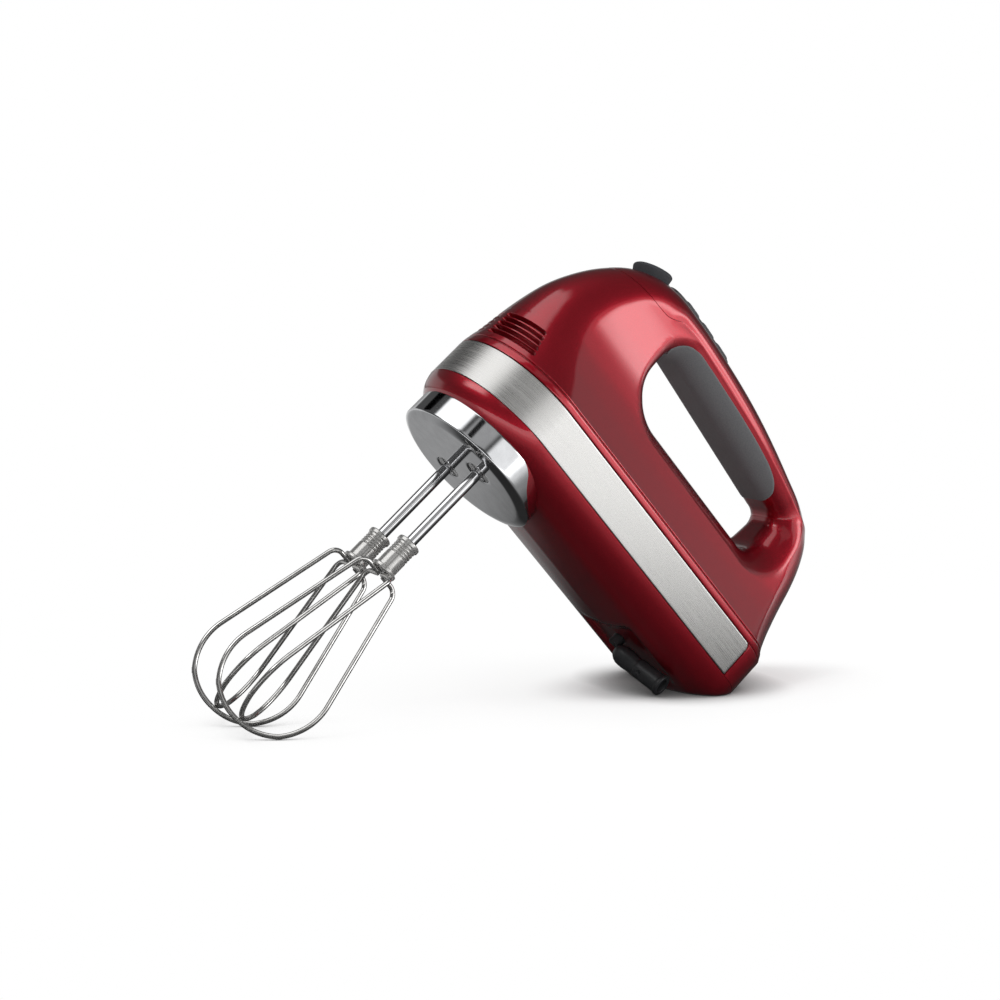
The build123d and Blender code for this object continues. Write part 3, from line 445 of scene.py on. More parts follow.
def heelX(z):
    # x of the slanted heel face at a height, just inside the flat it stands on
    return heelCorner[0] + (z - heelCorner[1]) / math.tan(leanAngle) - 0.05


# ------ upper housing ------
housing = {
    "ringTop": 70.0, "bandEnd": 155.0, "bandTop": 43.75, "bandCorner": 3.2, "recess": 1.25, "grooveZ": 48.2,
    "grooveDepth": 0.8, "closeFrom": 192.0, "tailTurn": 199.5,
    "ventCount": 5, "ventFirstZ": 52.9, "ventPitch": 3.05, "ventHalf": 1.12, "ventDepth": 3.4,
    "ventFrom": 4.0, "ventTo": 50.0, "rimFloor": 7.2, "rimRoof": 12.5, "rimFront": 5.0, "rimBack": 15.0,
}
tunnelRadii = (22, 14, 7, 9)
tunnelCorners = [(26.6, 79.5), (137.0, 79.5), (137.0, 109.0), (26.6, 117.2)]


def bandShape(x, z, grow=0.0):
    # how far a point lies inside the band's side outline, in millimetres; it has one rounded corner
    h = housing
    r = h["bandCorner"]
    cornerX, cornerZ = h["bandEnd"] - r, h["bandTop"] - r
    past = np.hypot(np.maximum(x - cornerX, 0), np.maximum(z - cornerZ, 0))
    return grow + np.where((x > cornerX) & (z > cornerZ), r - past,
                           np.minimum(h["bandEnd"] - x, h["bandTop"] - z))


noseSteps = bodyHalf * (1 - np.cos(np.linspace(0, math.pi / 2, 118)))
sideSteps = np.concatenate([np.linspace(bodyHalf, housing["closeFrom"], 60)[1:-1],
                            np.linspace(housing["closeFrom"] + 0.5, housing["tailTurn"], 25)])
tailSteps = housing["tailTurn"] + (bodyLength - housing["tailTurn"]) * np.sin(
    np.linspace(0, math.pi / 2, 30)[1:])
ringShare = np.concatenate([noseSteps, sideSteps, tailSteps]) / bodyLength
ringShare[-1] = 1.0


def plainRing(z):
    # level lines of the left half, from the middle of the nose to the middle of the tail
    x = noseAt(z) + ringShare * (tailAt(z) - noseAt(z))
    return x, halfWidth(x, z + 0 * x)


def levelNormals(x, y):
    # outward level normals of such lines; straight ahead at the nose
    tx, ty = np.gradient(x, axis=1), np.gradient(-y, axis=1)
    size = np.hypot(tx, ty) + 1e-9
    nx, ny = ty / size, -tx / size
    nx[:, 0], ny[:, 0] = -1, 0
    return nx, ny


def ringPatch():
    # level lines stacked from the skirt up to the shoulder, with details pushed in along the normal
    h = housing
    low = [23.95, 24.15, 26, 28, 30, 31.5, 33, 36, 39, 41, 42.5, 43.2, 43.45, 43.6, 43.7, 43.8, 43.9, 44.0,
           44.2, 44.6, 45.4, 46.4, 47.2, 47.5, 47.7, 47.85, 48.0, 48.15, 48.3, 48.45, 48.6, 48.8, 49.1, 49.5,
           50.2, 51.0]
    z = np.concatenate([low, np.arange(51.5, 66.6, 0.25), [67.5, 68.7, 70.0]])[:, None]
    x, y = plainRing(z)
    nx, ny = levelNormals(x, y)
    nx[:, -1], ny[:, -1] = 1, 0
    # the band's recess, the groove above the flange and a fine line along the band's top edge
    push = (h["recess"] * smoothStep(-0.15, 0.15, bandShape(x, z, 0.25))
            + h["grooveDepth"] * np.exp(-((z - h["grooveZ"]) / 0.33) ** 2)
            + 0.35 * np.exp(-((z - 44.0) / 0.22) ** 2))
    # the vents: slots with round ends, between two angles about the nose
    wide = tableAt(widthRows, z)
    arc = np.arctan2(y, noseAt(z) + wide - x) * wide
    mid = np.radians((h["ventFrom"] + h["ventTo"]) / 2) * wide
    reach = np.radians((h["ventTo"] - h["ventFrom"]) / 2) * wide - h["ventHalf"]
    ventZ = h["ventFirstZ"] + h["ventPitch"] * np.clip(
        np.round((z - h["ventFirstZ"]) / h["ventPitch"]), 0, h["ventCount"] - 1)
    inside = h["ventHalf"] - np.hypot(np.maximum(np.abs(arc - mid) - reach, 0), z - ventZ)
    push = push + h["ventDepth"] * smoothStep(-0.12, 0.3, inside)
    x, y = softLess(x - nx * push, heelX(z)), -y - ny * push
    y[:, 0] = y[:, -1] = 0
    return patch(x, y, z)


tunnelSteps = 14        # points in half a corner's arc
tunnelLoop, tunnelMiddles = roundedLoop(tunnelCorners, tunnelRadii, tunnelSteps)
tunnelClosed = np.concatenate([tunnelLoop, tunnelLoop[:1]])
seamRows = [
    (-19.3, 122.2), (-10, 122.3), (0, 122.5), (8, 122.7), (13.5, 123.4), (17.5, 125.4), (21.5, 128.0),
    (27, 129.0), (50, 128.9), (70, 127.6), (91, 125.7), (110, 123.3), (124, 121.4), (139, 118.8),
    (150, 117.2), (159.6, 114.8)]
seamLine = evenCurve(seamRows, 400)
seamLine[0, 0] = noseAt(seamLine[0, 1])
seamLine[-1, 0] = tailAt(seamLine[-1, 1])


def tunnelLeg(k, share):
    # the part of the tunnel loop from the middle of corner k to the middle of the next
    a, b = tunnelMiddles[k], tunnelMiddles[(k + 1) % 4]
    line = tunnelLoop[a:b + 1] if b > a else np.concatenate([tunnelLoop[a:], tunnelLoop[:b + 1]])
    return alongLine(line, share)


def rimDrop(x, z):
    # how far the tunnel's rounded rim falls away, and how near its edge a point is
    gap, place = distanceTo(tunnelClosed, x, z)
    h, a = housing, tunnelMiddles
    # the rim's size by place along the loop, from the middle of the front floor corner round to the front
    half = tunnelSteps
    places = [a[0], a[0] + half, a[1] - half, a[1] + half, a[2], a[2] + half, a[3] - half, a[3] + 10]
    sizes = [h["rimFront"], h["rimFloor"], h["rimFloor"] + 1, h["rimBack"], h["rimBack"], h["rimRoof"],
             h["rimRoof"], h["rimFront"]]
    size = np.interp(place, places, sizes)
    u = 1 - np.clip(gap / size, 0, 1)
    return size * (0.22 * u + 0.78 * (1 - np.sqrt(np.maximum(1 - u * u, 0)))), u


def nearSeam(x, z):
    # distance from the cover's seam, and how full the step is there: none at both ends
    gap, place = distanceTo(seamLine, x, z)
    along = np.interp(place, np.arange(len(seamLine)), seamLine[:, 0])
    return gap, smoothStep(15, 24, along) * (1 - smoothStep(150, 158, along))


def lineBetween(line, zFrom, zTo, share):
    # points of a rising line at shares of the height between two levels
    z = zFrom + (zTo - zFrom) * share
    return np.stack([np.interp(z, line[:, 1], line[:, 0]), z], 1)


def flankPatches():
    # ruled grid from the finger tunnel's loop out to the shoulder, the nose, the cover's seam and
    # the tail; its width comes from halfWidth less the rounded rim of the tunnel
    low = housing["ringTop"]
    floorX, floorY = plainRing(low)
    floorShare = (floorX - floorX[0]) / (floorX[-1] - floorX[0])
    back, roof, front = (np.linspace(0, 1, count) for count in (36, 120, 44))
    outer = np.concatenate([
        np.stack([floorX, 0 * floorX + low], 1)[:-1], lineBetween(backLine, low, seamLine[-1, 1], back)[:-1],
        alongLine(seamLine, 1 - roof)[:-1], lineBetween(frontLine, seamLine[0, 1], low, front)])
    inner = np.concatenate([
        tunnelLeg(0, floorShare)[:-1], tunnelLeg(1, back)[:-1], tunnelLeg(2, roof)[:-1], tunnelLeg(3, front)])
    length = np.linalg.norm(outer - inner, axis=1)
    reach = np.minimum(15, 0.8 * length)
    near = (np.array([0, 0.008, 0.03, 0.065, 0.11, 0.17, 0.24, 0.32, 0.42, 0.54, 0.68, 0.84, 1])[:, None]
            * reach / length)
    u = np.linspace(0, 1, 28)[1:, None]
    t = np.concatenate([near, near[-1:] + (1 - near[-1:]) * (1 - (1 - u) ** 1.7)])
    x, z = ruled(inner, outer, t)
    y = halfWidth(x, z) - rimDrop(x, z)[0]
    # a low bead along the seam, where the flank stands proud of the cover
    gap, full = nearSeam(x, z)
    y = y + 0.5 * full * np.exp(-(gap / 1.6) ** 2)
    n = len(floorX) - 1
    a = n + len(back) - 1
    y[-1, :n + 1] = floorY
    y[-1, n:a + 1] = 0
    y[-1, a + len(roof) - 1:] = 0
    side = patch(x, -y, z, flip=True)
    wall = patch(x[:1], -y[:1] * np.linspace(1, 0, 7)[:, None], z[:1])
    lipX, lipY, lipZ = (v[-1, a:a + len(roof)] for v in (x, y, z))
    lip = patch(lipX, -np.maximum(lipY - np.array([[0], [0.5], [2.2]]), 0),
                lipZ + np.array([[0], [0.12], [0.12]]), flip=True)
    return [side, wall, lip]


makePiece("upperShell", bothSides([ringPatch(), *flankPatches()]), "housing", "housing_gloss",
          ["upper_housing"])

# ------ handle cover ------
cover = {"gap": 0.3, "inset": 0.75, "insetReach": 2.6}


def coverPatches():
    # ruled grid from the seam up to the crown line, set in a little along the flank's bead
    share = np.linspace(0, 1, 220)
    lower = alongLine(seamLine, share)
    a, b = (int(np.linalg.norm(outline[:, :2] - end, axis=1).argmin()) for end in (seamLine[0], seamLine[-1]))
    upper = alongLine(np.concatenate([seamLine[:1], outline[a + 1:b, :2], seamLine[-1:]]), share)
    length = np.linalg.norm(upper - lower, axis=1) + 1e-9
    start = np.minimum(cover["gap"] / length, 0.5)
    u = np.concatenate([[0, 0.012, 0.03], np.linspace(0.06, 1, 34)])[:, None]
    t = start + (1 - start) * (1 - (1 - u) ** 1.7)
    x, z = ruled(lower, upper, t)
    gap, full = nearSeam(x, z)
    inset = (0.05 + cover["inset"] * full) * np.exp(-(gap / cover["insetReach"]) ** 2)
    y = np.maximum(halfWidth(x, z) - inset, 0)
    y[-1] = 0
    y[:, 0] = y[:, -1] = 0
    lipY = np.maximum(y[0] - np.array([[2.2], [0.3], [0]]), 0)
    lip = patch(x[:1], -lipY, z[:1] - np.array([[0.15], [0.12], [0]]))
    return [patch(x, -y, z), lip]


def topPoint(x, y, lift):
    # a point on the crown, lifted along its normal
    top = slice(20, topIndex + 220)     # the part of the outline that a pad can stand on

    def height(px, py):
        at = np.interp(px, outline[top, 0], np.arange(len(outline))[top])
        roll, power = edgeRoll(at)
        wide = tableAt(widthRows, crownAt(px))
        return crownAt(px) - roll * (1 - (1 - np.clip(np.abs(py) / wide, 0, 1) ** power) ** (1 / power))
    z = height(x, y)
    nx = -(height(x + 0.8, y) - height(x - 0.8, y)) / 1.6
    ny = -(height(x, y + 0.8) - height(x, y - 0.8)) / 1.6
    size = np.sqrt(nx ** 2 + ny ** 2 + 1)
    return x + nx / size * lift, y + ny / size * lift, z + lift / size


makePiece("handleCover", bothSides(coverPatches()), "housing", "housing_gloss", ["handle_cover"])

# ------ soft grip ------
grip = {"lift": 0.55, "edge": 1.1, "start": 27.2, "end": 125.2}
gripRows = [
    (27.2, 115.2), (27.8, 117.2), (29.4, 120.4), (32.6, 123.6), (38.0, 125.7), (48, 125.8), (62, 125.0),
    (85, 123.4), (100, 121.8), (112, 119.8), (119.5, 117.0), (123.8, 113.6), (125.2, 110.8)]
gripLine = evenCurve(gripRows, 240)
tunnelTop = tunnelLoop[tunnelMiddles[2]:tunnelMiddles[3] + 1][::-1]


def gripPatches():
    # shell over the handle's side and under it: lifted off the housing, rolled down at its edge
    share = (1 - np.cos(np.linspace(0, math.pi, 150))) / 2
    x = grip["start"] + (grip["end"] - grip["start"]) * share
    roof = np.interp(x, tunnelTop[:, 0], tunnelTop[:, 1])
    top = alongLine(gripLine, np.linspace(0, 1, 150))
    v = np.concatenate([[0, 0.006, 0.02, 0.04], np.linspace(0.07, 1, 36) ** 1.1])[:, None]
    px, pz = ruled(np.stack([x, roof], 1), top, v)
    gap = distanceTo(gripLine, px, pz)[0]
    lift = grip["lift"] * (1 - edgeFall(gap, grip["edge"])) - 0.12
    drop, u = rimDrop(px, pz)
    y = halfWidth(px, pz) - drop + lift * np.sqrt(1 - u * u)
    pz = pz - lift * u
    below = patch(px[:1], -y[:1] * np.linspace(1, 0, 12)[:, None], pz[:1], flip=True)
    return [patch(px, -y, pz), below]


makePiece("softGrip", bothSides(gripPatches()), "housing", "grip_rubber", ["soft_grip"], 60)

# ------ brushed band ------
band = {"foot": 24.15, "level": 40.0, "edge": 0.35, "depth": 0.9}


def bandPatches():
    # strip round the nose to the two ends; its upper back corners are rounded, its edges roll in
    h = housing
    top = h["bandTop"] - 0.12
    v = np.concatenate([[0, 0.006, 0.02], np.linspace(0.05, 0.95, 20), [0.98, 0.994, 1]])[:, None]
    z = band["foot"] + (top - band["foot"]) * v
    r = h["bandCorner"]
    over = np.clip(z - (top - r), 0, r)
    endX = h["bandEnd"] - 0.15 - (r - np.sqrt(r * r - over ** 2))
    noseX = noseAt(band["level"]) + bodyHalf * (1 - np.cos(np.linspace(0, math.pi / 2, 110))) + 0 * z
    s = np.concatenate([np.linspace(0, 0.985, 90)[1:], [0.993, 0.998, 1]])
    x = np.concatenate([noseX, noseX[:, -1:] + (endX - noseX[:, -1:]) * s], 1)
    y = halfWidth(x, band["level"] + 0 * x)
    nx, ny = levelNormals(x, y)
    roll = 0.13 * edgeFall(np.minimum(z - band["foot"], bandShape(x, z, -0.13)), band["edge"]) + 0.05
    arc = runningLength(np.stack([x[0], y[0]], 1))
    uv = np.stack(np.broadcast_arrays(arc, z - band["foot"]), -1)
    px, py = x - nx * roll, -y - ny * roll
    dx, dy = px - nx * band["depth"], py - ny * band["depth"]
    py[:, 0] = dy[:, 0] = 0
    # strips that close the edges: foot, top and end
    edges = [patch(np.stack([px[cut], dx[cut]]), np.stack([py[cut], dy[cut]]), (z + 0 * x)[cut], flip=flip)
             for cut, flip in ((np.s_[0], True), (np.s_[-1], False), (np.s_[:, -1], True))]
    return [patch(px, py, z, uv=uv), patch(dx, dy, z, flip=True, uv=uv), *edges]


makePiece("brushedStrip", bothSides(bandPatches()), "housing", "band_steel", ["trim_band"])

# ------ lower housing ------
lower = {"top": 23.75, "bossRadius": 38.2, "noseCentre": 0.7, "spineTo": 153.4,
         "recessFrom": 112.0, "recessTo": 153.0, "recessHalf": 24.0, "recessDepth": 2.8}
bellyRows = [
    (0, 23.75), (0.25, 22.3), (0.8, 20.2), (1.8, 17.9), (3.2, 15.9), (5.0, 14.2), (8.0, 12.3), (12.0, 10.4),
    (15.0, 9.1), (18.0, 8.3), (24.0, 7.4), (32.0, 6.5), (43.5, 5.7)]


def bellyPatches():
    # height of the underside over the plan outline: convex lip, sloping flank, crease and shallow belly
    c = lower
    x0, y0 = plainRing(band["level"])
    v = np.concatenate([[0, 0.002, 0.006, 0.012, 0.02, 0.03, 0.045], np.linspace(0.065, 0.45, 22),
                        np.linspace(0.48, 1, 14)])[:, None]
    x = x0 + v * (np.clip(x0, c["noseCentre"], c["spineTo"]) - x0)
    y = y0 * (1 - v)
    # the recess in which the gland swings
    z = tableAt(bellyRows, bodyHalf * v) + (
        c["recessDepth"] * smoothStep(c["recessFrom"] - 3, c["recessFrom"] + 3, x)
        * (1 - smoothStep(c["recessTo"] - 8, c["recessTo"], x))
        * (1 - smoothStep(c["recessHalf"] - 6, c["recessHalf"], y)))
    heelZ = heelCorner[1] + (x - heelCorner[0]) * math.tan(leanAngle) + 0.05
    z = np.minimum(-softLess(-z, -heelZ, 0.8), c["top"])
    x = np.where(z >= c["top"] - 0.02, np.minimum(x, heelX(z)), x)
    inward = np.array([[0], [0.6], [2.5]])
    lip = patch(x[:1] + 0.3 * inward * np.sign(20 - x[:1]), -np.maximum(y[:1] - inward, 0), z[:1] + 0.05)
    # the boss that carries the cap
    turn = np.linspace(-math.pi, 0, 120)
    rows = np.array([[2.45], [3.2], [6.0], [10.0], [14.6]])
    r = c["bossRadius"] - 0.45 * (rows < 3)
    boss = patch(c["noseCentre"] + r * np.cos(turn), r * np.sin(turn), rows)
    return [patch(x, -y, z, flip=True), lip, boss]


makePiece("lowerShell", bothSides(bellyPatches()), "housing", "housing_gloss", ["lower_housing"])

# ------ chrome cap ------
cap = {"centre": 0.7, "radius": 38.5, "flat": 33.0, "hole": 6.55}
capTopRows = [
    (-45, 14.0), (2.5, 14.0), (5.0, 13.5), (9.4, 11.4), (12, 9.0), (15.6, 6.3), (20, 4.6), (27, 3.1),
    (38.5, 2.6), (45, 2.6)]


def capPatches():
    # half of a shallow cup: flat face with the socket hole, a raised rim and a wall whose top
    # edge comes down towards the back
    c = cap
    turn = np.linspace(-math.pi, 0, 121)
    arcPoints = np.stack([c["centre"] + c["flat"] * np.cos(turn), c["flat"] * np.sin(turn)], 1)
    middle = np.linspace(1, -1, 61)[1:-1]
    outer = np.concatenate([arcPoints, np.stack([c["centre"] + c["flat"] * middle, 0 * middle], 1)])
    hole = np.array([0.0, -halfSpacing])
    inner = hole + c["hole"] * unit(outer - hole)
    t = np.concatenate([[0, 0.015, 0.05], np.linspace(0.12, 1, 12)])[:, None]
    near = t * np.linalg.norm(outer - inner, axis=1)
    face = patch(*ruled(inner, outer, t), 0.25 * np.exp(-(near / 0.25) ** 2), wrap=True)
    well = patch(inner[:, 0], inner[:, 1], np.array([[0.25], [1.0], [4.0]]), wrap=True, flip=True)
    # rim and wall, drawn as radius and height
    rimR = [c["flat"], 33.4, 34.2, 35.5, 37.0, 37.9, 38.25, 38.42, c["radius"]]
    rimZ = np.array([0, 0.03, 0.15, 0.5, 1.1, 1.5, 1.72, 1.95, 2.3])[:, None]
    r = np.array([*rimR, *[c["radius"]] * 12, 38.4, 38.1, 37.4])[:, None]
    top = tableAt(capTopRows, c["centre"] + c["radius"] * np.cos(turn))
    share = np.concatenate([np.linspace(0, 0.94, 12)[1:], [0.985, 1, 1, 1]])[:, None]
    z = np.concatenate([rimZ + 0 * turn, rimZ[-1] + (top - rimZ[-1]) * share])
    wall = patch(c["centre"] + r * np.cos(turn), r * np.sin(turn), z)
    return [face, well, wall]


makePiece("chromeCap", bothSides(capPatches()), "housing", "cap_chrome", ["front_cap"], 30)

# ------ beaters ------
beater = {
    "wire": 1.2, "start": 2.2, "shoulder": 12.5, "cage": 28.4, "top": -66.6, "bottom": -159.3, "twist": -39.0,
    "bend": 5.0, "shaft": 2.75, "collarTop": -46.4, "collarBottom": -65.3, "collar": 5.4, "lip": 6.6,
    "groove": 0.55, "groovePitch": 1.55, "firstGroove": 8.6,
}


def wirePath(phase, lift):
    # one closed-bottomed loop with arcs at its corners; also gives the turn of the loop's plane
    b = beater
    bottom = b["bottom"] + 2.5 * lift
    cut = math.tan(math.pi / 8)
    start, twist = math.radians(phase), math.radians(phase + b["twist"])
    rows = [(b["start"], start, b["top"]), (b["shoulder"], start, b["top"]),
            (b["cage"], twist, bottom + (1 - cut) * b["cage"]), (cut * b["cage"], twist, bottom)]
    right = np.array([(r * math.cos(a), r * math.sin(a), z) for r, a, z in rows])
    corners = np.concatenate([right, (right * (-1, -1, 1))[::-1]])
    radii = [b["bend"], *[0.95 * b["cage"]] * 4, b["bend"]]
    arcs = [cornerArc(*corners[i:i + 3], radius, 32) for i, radius in enumerate(radii)]
    return alongLine(np.concatenate([corners[:1], *arcs, corners[-1:]]), np.linspace(0, 1, 260)), twist


def tubePatch(path, radius, away, sides=20):
    # a round section carried along a path and closed at both ends; the path never follows away
    t = unit(np.gradient(path, axis=0))
    n = unit(away - t * (t @ away)[:, None])
    centre, n, b = (np.concatenate([v[:1], v, v[-1:]])[:, None] for v in (path, n, np.cross(t, n)))
    r = np.full((len(centre), 1, 1), radius)
    r[0] = r[-1] = 0.0001
    a = np.linspace(0, 2 * math.pi, sides, endpoint=False)[:, None]
    return patch(*np.moveaxis(centre + r * (np.cos(a) * n + np.sin(a) * b), -1, 0), wrap=True)


def turnedPatch(profile, centre, sides=72):
    # a profile of (radius, height) turned about an upright axis
    r, z = np.array(profile, float).T[..., None]
    a = np.linspace(0, 2 * math.pi, sides, endpoint=False)
    return patch(centre[0] + r * np.cos(a), centre[1] + r * np.sin(a), z, wrap=True)


def collarProfile():
    # a wide foot, a lip and four fine grooves near the top, rolled edges at both ends
    b = beater
    z = np.linspace(b["collarBottom"], b["collarTop"], 240)
    h = z - z[0]
    total = h[-1]
    r = b["collar"] + (b["lip"] - b["collar"]) * (1 - smoothStep(1.7, 2.5, h))
    r = r + b["groove"] * smoothStep(total - 2.6, total - 2.0, h)
    for k in range(4):
        r = r - b["groove"] * np.exp(-((h - (total - b["firstGroove"] + b["groovePitch"] * k)) / 0.32) ** 2)
    r = r - 0.9 * edgeFall(np.minimum(h, total - h), 0.9)
    return [(0.001, z[0]), (b["collar"] / 2, z[0]), *zip(r, z), (b["shaft"] - 0.2, z[-1])]


for side, y, phase in (("left", -halfSpacing, 4.0), ("right", halfSpacing, 5.0)):
    body = side + "_beater"
    for loop, turn, lift in (("a", 0, 0), ("b", 90, 1)):
        path, plane = wirePath(phase + turn, lift)
        away = np.array([-math.sin(plane), math.cos(plane), 0.0])
        makePiece("beaterWire" + loop.upper() + side.capitalize(),
                  [tubePatch(path + (0, y, 0), beater["wire"], away)], body, "wire_steel",
                  ["beater_loop_" + loop + "_" + side], 60)
    makePiece("beaterCollar" + side.capitalize(), [turnedPatch(collarProfile(), (0, y))], body,
              "collar_steel", ["beater_collar_" + side], 50)
print("beaters made")

# ------ cord gland ------
gland = {"pivotX": 123.0, "axisZ": 2.2, "angle": 53.0, "droop": 2.0, "barrel": 5.05, "dotAt": 21.5,
         "dot": 0.95}
glandRows = np.array([
    # distance along, half width, half height
    (2.6, 0.01, 0.01), (2.68, 1.3, 1.1), (3.0, 2.7, 2.2), (3.7, 4.1, 3.3), (4.9, 5.2, 4.2), (6.6, 5.9, 4.9),
    (8.6, 6.1, 5.1), (11.0, 6.0, 5.15), (13.0, 5.6, 5.0), (15.0, 5.05, 4.75), (16.6, 4.65, 4.5),
    (17.4, 4.55, 4.5), (17.8, 4.75, 4.75), (18.3, 5.05, 5.05)])


def glandPatches():
    # oval sections along the barrel, a rolled rim, the bore going back in, and a small dimple
    g = glandRows
    mouth = np.array([
        # distance along, half width and half height
        (31.6, 5.1), (31.9, 5.3), (32.2, 5.45), (33.2, 5.5), (33.7, 5.4), (33.95, 5.15), (34.0, 4.9),
        (34.0, 4.2), (33.9, 3.8), (33.5, 3.55), (30.0, 3.5), (20.0, 3.5)])
    barrel = np.concatenate([np.arange(18.8, 24.5, 0.35), np.linspace(25.0, 31.2, 6)])
    s = np.concatenate([g[:, 0], barrel, mouth[:, 0]])[:, None]
    rest = np.concatenate([np.full(len(barrel), gland["barrel"]), mouth[:, 1]])
    a = np.linspace(0, 2 * math.pi, 72, endpoint=False)
    away = np.hypot(s - gland["dotAt"], gland["barrel"] * np.abs(a - math.pi * 1.22))
    dip = 1 - 0.24 * (1 - smoothStep(gland["dot"] - 0.3, gland["dot"] + 0.15, away))
    side = np.concatenate([g[:, 1], rest])[:, None] * np.cos(a) * dip
    up = np.concatenate([g[:, 2], rest])[:, None] * np.sin(a) * dip
    turn, tilt = math.radians(gland["angle"]), math.radians(gland["droop"])
    along = np.array([math.cos(tilt) * math.cos(turn), -math.cos(tilt) * math.sin(turn), -math.sin(tilt)])
    across = np.array([math.sin(turn), math.cos(turn), 0])
    p = ((gland["pivotX"], 0, gland["axisZ"]) + s[..., None] * along
         + side[..., None] * across + up[..., None] * np.cross(along, across))
    post = turnedPatch([(0.01, 9.5), (3.4, 9.5), (3.4, 4.0), (0.01, 4.0)], (gland["pivotX"], 0), 48)
    return [patch(*np.moveaxis(p, -1, 0), wrap=True), post]


makePiece("glandBoot", glandPatches(), "gland", "gland_black", ["cord_gland"], 50)

# ------ control strip, keys and eject button ------
# strip, window, eject: x from and to, half width, lift and corner radius; keys: x from and to
controls = {
    "strip": (9.5, 59.5, 9.0, 0.9, 3.2), "window": (11.2, 18.8, 6.4, 1.15, 1.6),
    "eject": (-8.2, 9.0, 8.0, 4.65, 7.0), "seal": 0.2, "sealRim": 0.9,
    "keys": ((20.5, 32.0), (34.0, 45.5), (47.0, 58.5)), "keyHalf": 6.6, "keyLift": 2.05, "keyCorner": 2.6,
}


def padPatches(x0, x1, half, lift, corner, dome=0.0, edge=0.6):
    # rounded-rectangle pad on the crown: rings from its middle out, rolled edge, skirt sunk below
    loop = roundedLoop([(x0, -half), (x1, -half), (x1, half), (x0, half)], (corner,) * 4, 8)[0]
    loop = alongLine(np.concatenate([loop, loop[:1]]), np.linspace(0, 1, 97)[:-1])
    middle = (x0 + x1) / 2
    small = min(half, (x1 - x0) / 2)
    t = np.concatenate([[0.001], np.linspace(0.12, 1 - edge / small, 9),
                        1 - edge / small * np.array([0.75, 0.5, 0.3, 0.15, 0.05, 0]), [1]])[:, None]
    rise = lift - edge * edgeFall((1 - t) * small, edge) + dome * (1 - t ** 2)
    rise[-1] = -0.8
    px, py, pz = topPoint(middle + t * (loop[:, 0] - middle), t * loop[:, 1], rise)
    return [patch(px, py, pz, wrap=True, flip=True)]


makePiece("controlStrip", padPatches(*controls["strip"]), "housing", "panel_black", ["control_panel"])
makePiece("speedWindow", padPatches(*controls["window"]), "housing", "window_glass", ["display_window"])
for (x0, x1), node, body in zip(controls["keys"], ("power_button", "speed_down_button", "speed_up_button"),
                                ("power_key", "speed_down_key", "speed_up_key")):
    pad = padPatches(x0, x1, controls["keyHalf"], controls["keyLift"], controls["keyCorner"], 0.15, 0.7)
    makePiece("key" + node.title().replace("_", ""), pad, body, "button_grey", [node])
x0, x1, half, lift, corner = controls["eject"]
rim = controls["sealRim"]
# the thin rubber seal that the button sinks into
makePiece("ejectSeal", padPatches(x0 - rim, x1 + rim, half + rim, controls["seal"], corner + rim, 0.0, 0.15),
          "housing", "eject_grey", [])
makePiece("ejectPad", padPatches(x0, x1, half, lift, corner, 0.3, 1.5), "ejector", "eject_grey",
          ["eject_button"])

# ------ camera ------
view = {"azimuth": 28.14, "elevation": 6.66, "distance": 1.086, "aimAside": 0.0590, "aimRise": 0.0049,
        "lens": 79.8}


def directionFrom(azimuthDeg, elevationDeg):
    # from the mixer outwards; azimuth turns from the left side towards the nose
    a, e = math.radians(azimuthDeg), math.radians(elevationDeg)
    return np.array([-math.sin(a) * math.cos(e), -math.cos(a) * math.cos(e), math.sin(e)])


towards = directionFrom(view["azimuth"], view["elevation"])
across = unit(np.cross([0, 0, 1], towards))
rise = np.cross(towards, across)
bodyMiddle = toRoom(np.array([75.0, 0, 50.0]))
eye = bodyMiddle + view["distance"] * towards - view["aimAside"] * across + view["aimRise"] * rise
cameraData = bpy.data.cameras.new("camera")
cameraData.lens = view["lens"]
cameraData.sensor_width = 36
cameraData.clip_end = 50
camera = addObject("camera", cameraData)
turned = Matrix([(*row, 0) for row in np.stack([across, rise, towards], 1)] + [(0, 0, 0, 1)])
camera.matrix_world = Matrix.Translation(eye) @ turned
scene.camera = camera
scene.view_settings.view_transform = "Standard"

# ------ floor ------
white = linear("#ffffff")
floorMesh = bpy.data.meshes.new("paleFloor")
floorMesh.from_pydata([(-6, -6, 0), (6, -6, 0), (6, 6, 0), (-6, 6, 0)], [], [(0, 1, 2, 3)])
floor = addObject("paleFloor", floorMesh)


def rampByDistance(tree, where, centre, squeeze, stops, farthest):
    # grey level over distance from a place on the floor, in metres; squeeze makes it fall off faster
    # front to back
    shift = addNode(tree, "VectorMath", {"operation": "SUBTRACT"}, {0: where, 1: (*centre, 0)})
    shift = addNode(tree, "VectorMath", {"operation": "MULTIPLY"}, {
        0: shift.outputs[0], 1: (1, squeeze, 1)})
    reach = addNode(tree, "VectorMath", {"operation": "LENGTH"}, {0: shift.outputs[0]})
    ramp = addNode(tree, "ValToRGB", inputs={
        "Fac": mathNode(tree, "DIVIDE", reach.outputs["Value"], farthest)})
    ramp.color_ramp.interpolation = "EASE"
    while len(ramp.color_ramp.elements) < len(stops):
        ramp.color_ramp.elements.new(0.5)
    for element, (place, level) in zip(ramp.color_ramp.elements, stops):
        element.position = place / farthest
        element.color = (level, level, level, 1)
    return ramp.outputs["Color"]


